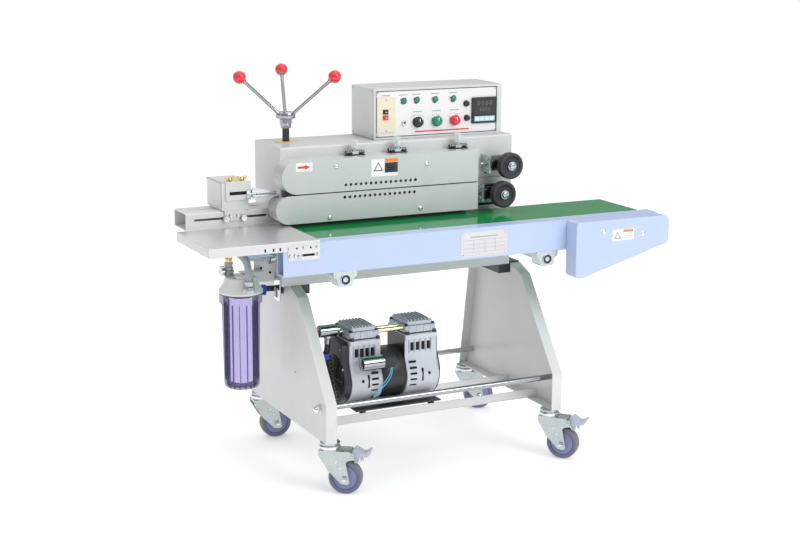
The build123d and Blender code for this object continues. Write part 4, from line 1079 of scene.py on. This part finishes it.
def make_pump():
    make_pump_casting("left_casting", LEFT_BLOCK)
    make_pump_casting("right_casting", RIGHT_BLOCK)
    stator = Shape().turned(((12, -124.8), (69, -124.8), (71, -121), (71, -55), (69, -51.2), (12, -51.2)),
                            (0, PUMP_Y, PUMP_Z), RIGHT, 80, closed_ring=True)
    stator = stator.finish("stator", "black_paint", ROOT)
    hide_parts("pump_body")
    neck = Shape().box((-51, -46), (-108, 0), (PUMP_Z + 30, 374)).box((-125, -119), (-96, -10),
            (PUMP_Z + 40, 372))
    neck.finish("casting_backs", "black_paint", ROOT, 1.0)
    make_fan_cover()
    base, feet = Shape(), Shape()
    base.box((-215, 45), (-146, 38), (186, 190)).box((-205, -140), (-94, -14), (189.6, 197)).box((-36, 36),
            (-94, -14), (189.6, 197))
    base.finish("pump_base", "black_paint", ROOT, 0.8)
    for x in (-190, 20):
        for y in (-133, 25):
            feet.turned(((0, 159), (8, 159), (9, 163), (8.4, 172), (9, 181), (8, 186), (0, 186)), (x, y, 0),
                        segments=28)
    feet.finish("pump_feet", "black_rubber", ROOT)
    left = make_pump_head("left_head", LEFT_BLOCK)
    make_pump_head("right_head", RIGHT_BLOCK)
    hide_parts("pump_heads")
    paint("pump_rotor", "steel")
    tubes = Shape()
    for y in (-88, -62):
        tubes.turned(((6, -126), (6, -50)), (0, y, 392), RIGHT, 28)
        for end in (-124, -54):
            tubes.turned(oblong(6, 8, end, end + 5), (0, y, 392), RIGHT, 28)
    tubes = tubes.finish("brass_tubes", "pale_brass", ROOT)
    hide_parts("pump_fittings")
    silencer = Shape().turned(((0, -290), (3, -290), (3, -288.6), (15, -288.6), (17, -287), (17, -238),
                               (15, -235.4), (11, -235), (11, -229), (0, -229)), (0, -60, 400), RIGHT, 48)
    silencer.turned(((0, -231), (8.8, -231), (8.8, -218)), (0, -60, 392), RIGHT, 28)
    silencer.turned(((9, 0), (9, 14), (11, 14), (11, 24), (9, 24), (9, 28)), (-262, -60, 366), (0, 0, 1), 6)
    silencer.turned(((0, 0), (8.8, 0), (8.8, 20), (7, 24)), (-262, -60, 364), (0, 0, 1), 32)
    silencer.finish("silencer", "shaded_chrome", ROOT, 0.3)
    can = Shape().turned(((0, -200), (17.5, -200), (19.6, -198.4), (20, -196), (20, -140), (19.4, -136),
                          (20, -134.4), (0, -134.4)), (0, -146, 320), RIGHT, 48)
    can.turned(((0, 0), (9, 0), (9, 2), (4, 3.4), (0, 3.4)), (-197, -146, 320), LEFT, 6)
    can.finish("capacitor_can", "shaded_chrome", ROOT)
    boot = Shape().turned(((20.4, -137), (21, -133), (19, -131), (18.6, -104), (17, -100.6), (0, -100.2)),
                          (0, -146, 320), RIGHT, 48)
    boot.finish("capacitor_boot", "black_rubber", ROOT)
    Shape().box((-176, -168), (-128, -110), (318, 332)).finish("capacitor_clip", "zinc", ROOT, 0.5)
    tube("capacitor_wire_1", ((-112, -152, 303), (-112, -150, 290), (-116, -138, 268), (-136, -134, 246),
                              (-150, -132, 224), (-152, -122, 214)), 1.3, "wire_blue", ROOT)
    tube("capacitor_wire_2", ((-108, -150, 303), (-107, -148, 288), (-110, -136, 262), (-132, -133, 240),
                              (-147, -131, 222), (-152, -122, 212)), 1.3, "wire_blue", ROOT)
    grommet = Shape().turned(((0, 0), (6, 0), (6, 4), (4, 5), (0, 5)), (-152, -119, 212), FRONT, 20)
    grommet.finish("wire_grommet", "black_rubber", ROOT)


def make_fan_cover():
    cover = Shape()
    outline = [(PUMP_Y + 74 * cos(radians(a)), PUMP_Z + 74 * sin(radians(a))) for a in range(-180, 1, 6)]
    outline += [(-1, PUMP_Z + 52), (-4, 362), (-14, 371.5), (-94, 371.5), (-104, 362), (-107, PUMP_Z + 52)]
    cover.prism(outline, "X", -240, -219.2)
    cover.finish("fan_cover", "black_paint", ROOT, 2.0, 3)
    grille = Shape()
    for radius in (12, 22, 32, 42, 52, 62):
        profile = []
        for step in range(8):
            angle = 2 * pi * step / 8
            profile.append((radius + 1.8 * cos(angle), -241.5 + 2.2 * sin(angle)))
        grille.turned(profile, (0, PUMP_Y, PUMP_Z), RIGHT, 56, closed_ring=True)
    for turn in range(3):
        spin = Matrix.Rotation(turn * pi / 3, 3, "X")
        bar = [spin @ Vector((0, a, b)) for a, b in oblong(-64, 64, -1.6, 1.6)]
        grille.prism([(PUMP_Y + p.y, PUMP_Z + p.z) for p in bar], "X", -243, -240)
    grille.finish("fan_grille", "black_plastic", ROOT, angle=50)
    screws = Shape()
    for y, z in ((-96, 352), (-12, 352), (-112, 300), (4, 300)):
        dome_screw(screws, (-240, y, z), LEFT, 3.4, 2)
    screws.finish("fan_cover_screws", "zinc", ROOT)


# ---------------------------------------------------------------- hoses, filter and gas fittings

# The two hoses' paths, as in the part's source
PUMP_HOSE = ((-262, -60, 365), (-262, -60, 325), (-298, -34, 322), (-322, 0, 360), (-336, 18, 415),
             (-341, 24, 465), (-346, 22, 500), (-378, 20, 515), (-410, 20, 515))
FILTER_HOSE = ((-501, -98, 556), (-501, -98, 606), (-503, -70, 628), (-503, -26, 628), (-470, -14, 612),
               (-412, -14, 607))


def make_hoses():
    black = tube("pump_hose", PUMP_HOSE, 7.9, "hose_black", ROOT)
    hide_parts("air_hoses")
    tube("filter_hose", FILTER_HOSE, 10.9, "hose_clear", ROOT)
    tube("hose_bore", FILTER_HOSE, 8.2, "hose_inside", ROOT)
    guide = tube("hose_guide", FILTER_HOSE, 0, "hose_clear", ROOT)
    guide.data.resolution_u = 24
    graph = bpy.context.evaluated_depsgraph_get()
    line = bpy.data.meshes.new_from_object(guide.evaluated_get(graph))
    path = [(vertex.co - ORIGIN) / MM for vertex in line.vertices]
    bpy.data.objects.remove(guide)
    wind(path, 10.3, 6.5, "hose_spiral", "hose_wire", ROOT)
    clamps = Shape()
    clamps.turned(((11.2, 0), (12.6, 0.4), (12.6, 8.6), (11.2, 9)), (-501, -98, 560), (0, 0, 1), 32)
    clamps.turned(((11, 0), (14, 0.4), (14, 13), (11, 13.4)), (-411.7, -14, 607), RIGHT, 32)
    clamps.box((-409, -402), (-18, -8), (619, 626))
    clamps.turned(((9, 0), (9, 14)), (-399, -14, 607), RIGHT, 28)
    for step in range(3):
        clamps.turned(((14, 0), (14.5, 0.3), (14.5, 1.7), (14, 2)), (-410 + 4 * step, -14, 607), RIGHT, 32)
    clamps.finish("hose_clamps", "steel", ROOT)
    blue = Shape()
    blue.turned(((8.1, 0), (10.6, 0.5), (10.6, 13), (8.1, 13.5)), (-425, 20, 515), RIGHT, 32)
    blue.prism(rounded_outline(((-427, 503), (-412, 500), (-410, 528), (-425, 531)), (4, 4, 4, 4), 3), "Y", 6,
               12)
    blue.turned(((8.1, 0), (10.8, 0.5), (10.8, 13), (8.1, 13.5)), (-270, -54, 323), (-0.8, 0.6, 0), 32)
    blue.prism(rounded_outline(oblong(-284, -262, 322, 338), (4, 4, 4, 4), 3), "Y", -74, -66)
    blue.finish("blue_clamps", "clamp_blue", ROOT, 0.6)
    elbow = Shape().turned(((0, -437), (9, -437), (9, -425), (8.4, -424), (8.4, -411), (0, -411)),
                           (0, 20, 515), RIGHT, 28)
    elbow.turned(((0, 503), (9, 503), (9, 528), (8, 529), (8, 560), (0, 560)), (-437, 20, 0), segments=28)
    elbow.turned(oblong(0, 9, 530, 538), (-437, 20, 0), segments=6)
    elbow.box((-444, -430), (11, 20), (540, 560))
    elbow.finish("hose_elbow", "zinc", ROOT, 0.4)


def wind(path, radius, pitch, name, mat, body):
    """Winds a wire round a path, all machine millimetres."""
    points = []
    turned = 0.0
    side = Vector(RIGHT)
    for before, after in zip(path, path[1:]):
        along = after - before
        length = along.length
        if length < 1e-4:
            continue
        along.normalize()
        side = (side - along * side.dot(along)).normalized()
        across = along.cross(side)
        pieces = max(1, round(length / 0.5))
        for piece in range(pieces):
            place = before.lerp(after, piece / pieces)
            angle = 2 * pi * turned / pitch
            points.append(place + side * (radius * cos(angle)) + across * (radius * sin(angle)))
            turned += length / pieces
    tube(name, points, 0.45, mat, body)


FILTER = (-503, -40)


def make_filter():
    x, y = FILTER
    cap = Shape().turned(((0, 528.2), (57, 528.2), (58.8, 529), (59, 533.8), (57.6, 536), (52, 545),
                          (46.5, 555), (43.6, 563), (42, 567), (41.4, 569.6), (39, 571), (0, 571)), (x, y, 0),
                         segments=80)
    cap = cap.finish("cap_top", "filter_white", ROOT, 0.5)
    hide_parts("filter_cap")
    details, dark = Shape(), Shape()
    for index in range(24):
        angle = 2 * pi * index / 24
        place = (x + 57.8 * cos(angle), y + 57.8 * sin(angle), 0)
        details.turned(((0, 528.5), (1.2, 528.5), (1.2, 535), (0, 536.5)), place, segments=8)
    details.finish("cap_ribs", "filter_white", ROOT)
    for index in range(4):
        angle = radians(40 + 90 * index)
        place = (x + 30 * cos(angle), y + 30 * sin(angle), 571)
        dark.turned(oblong(0, 4, -0.2, 0.2), place, segments=20)
    # A dark ring at the seam under the cap: painted shade
    dark.turned(oblong(57.2, 57.9, 526.9, 528.1), (x, y, 0), segments=72, closed_ring=True)
    dark.finish("cap_holes", "hole_shade", ROOT)
    wall = Shape().turned(((57, 527.8), (57, 503), (55.5, 502), (51.4, 500), (51, 492), (47.2, 281),
                           (46.4, 276), (44, 272.2), (40, 270), (0, 270), (0, 274.6), (38, 274.8), (41, 276),
                           (42.4, 281), (46.3, 495), (47, 527.8)), (x, y, 0), segments=72)
    wall = wall.finish("bowl_wall", "filter_purple", ROOT)
    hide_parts("filter_bowl")
    # The ribs take the darker tint, which paints shade into the sides of the bowl
    ribs = Shape()
    for index in range(14):
        turn = Matrix.Rotation(2 * pi * (index + 0.5) / 14, 3, "Z")
        corners = [turn @ Vector((r, s, 0)) for r, s in ((40, -0.6), (45.8, -1), (45.8, 1), (40, 0.6))]
        ribs.prism([(x + p.x, y + p.y) for p in corners], "Z", 290, 500)
    for index in range(15):
        angle = 2 * pi * index / 15
        place = (x + 36 * cos(angle), y + 36 * sin(angle), 0)
        ribs.turned(((0, 270.1), (2.2, 270.1), (2.6, 279), (0, 279)), place, segments=10)
    ribs.finish("bowl_ribs", "filter_edge_shade", ROOT, 0.4)
    # The cartridge's material glows, as painted light
    core = Shape()
    points = []
    for step in range(160):
        angle = 2 * pi * step / 160
        radius = 29.3 + 0.7 * cos(40 * angle)
        points.append((x + radius * cos(angle), y + radius * sin(angle)))
    core.prism(points, "Z", 286, 516)
    core = core.finish("cartridge", "filter_paper", ROOT)
    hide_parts("filter_cartridge")
    ends = Shape()
    for low, high in ((275.2, 286), (516, 527)):
        ends.turned(oblong(0, 30, low, high), (x, y, 0), segments=48)
    ends.finish("cartridge_ends", "white_plastic", ROOT, 0.8)
    rounded("filter_bracket", "stand_paint", 0.6, ROOT)
    strip = Shape()
    for low, high in ((487.6, 495), (521, 547.4)):
        strip.prism(rounded_outline(oblong(-29.6, 7.6, low, high), (2, 2, 2, 2), 3),
                    "X", -388.3, -387.6)
    strip.box((-388.3, -387.6), (-29.6, -20), (495, 521))
    strip.finish("lock_strip", "chrome", ROOT)
    black = Shape().box((-388.2, -387.7), (-9, -3), (495.4, 520.6))
    for hx, hz in ((-400, 589), (-400, 562), (-426, 576)):
        black.turned(oblong(0, 3.6, -3, 0.15), (hx, 8, hz), FRONT, 20)
    black.finish("bracket_holes", "hole_shade", ROOT)


GAUGE_Z = 586
VALVE = (-528, -20)


def make_gas():
    x, y = VALVE
    stack = Shape().turned(((0, 571.2), (13, 571.2), (13, 574), (12, 576), (11, 577), (11, 588), (12.4, 589),
                            (12.4, 593), (11, 594.5), (9.5, 596), (9.5, 601), (0, 601)), (x, y, 0),
                           segments=36)
    stack.turned(oblong(0, 15, 577.5, 586), (x, y, 0), segments=6)
    stack.turned(oblong(0, 12.2, 599, 607.5), (x, y, 0), segments=6)
    stack.turned(oblong(0, 6, 0, 15), (x, y, GAUGE_Z), LEFT, 24)
    stack = stack.finish("port_fittings", "fitting_grey", ROOT, 0.6)
    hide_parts("gas_fittings")
    nut = Shape().turned(((0, 538.3), (17, 538.3), (17, 551), (15, 555), (11.4, 555.8), (11.4, 561),
                          (0, 561)), (*FILTER_HOSE[0][:2], 0), segments=6)
    nut.finish("hose_nut", "zinc", ROOT, 0.6)
    gauge = Shape().turned(((0, 14), (13.2, 14), (14, 15), (14, 23), (12.8, 24), (12.2, 22.6), (0, 22.6)),
                           (x, y, GAUGE_Z), LEFT, 44)
    gauge.finish("gauge_case", "chrome", ROOT)
    dial = Shape().turned(oblong(0, 12, 22.7, 23), (x, y, GAUGE_Z), LEFT, 36)
    dial.finish("gauge_dial", "label_white", ROOT)
    valve = Shape().turned(((0, 607.5), (8, 607.5), (8, 613), (9, 615), (9, 616), (10, 619), (10.5, 625),
                            (10, 631), (9, 634), (9, 636), (7, 638), (7, 643), (6.4, 646.4), (4, 649),
                            (0, 650)), (x, y, 0), segments=32)
    valve.turned(((0, 0), (5, 0), (5, 10), (3.4, 11), (3.4, 11.8), (0, 11.8)), (x, y, 626), LEFT, 24)
    valve.turned(oblong(0, 10.8, 615.5, 620), (x, y, 0), segments=6)
    valve.turned(oblong(0, 10.8, 632, 636.5), (x, y, 0), segments=6)
    barbs = [(0, 0), (6.9, 0), (6.9, 12)]
    for step in range(3):
        barbs += [(6.9, 12.5 + 5 * step), (5.8, 17 + 5 * step)]
    valve.turned((*barbs, (5.8, 28), (4, 28), (4, 12.5), (0, 12.5)), (x, y, 643), REAR, 32)
    valve.finish("brass_valve", "brass", ROOT, 0.3)
    body = "valve_lever"
    lever = Shape().prism(rounded_outline(oblong(-26, -14, 620, 632), (4, 4, 4, 4), 4),
                          "X", x - 17, x - 12.6)
    lever.prism(((-54, 623), (-52, 622), (-22, 621.5), (-22, 630.5), (-52, 630), (-54, 629)), "X", x - 16,
                x - 13)
    lever = lever.finish("lever_arm", "red_plastic", body, 1.2, 3)
    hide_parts(body)
    dome = Shape().turned(((0, 16.8), (3, 16.8), (3, 17.8), (0, 18)), (x, y, 626), LEFT, 6)
    dome.finish("lever_nut", "zinc", body)


make_stand()
make_casters()
make_casing()
make_control_box()
make_head()
make_capstan()
make_conveyor()
make_table()
make_nozzle()
make_pump()
make_hoses()
make_filter()
make_gas()
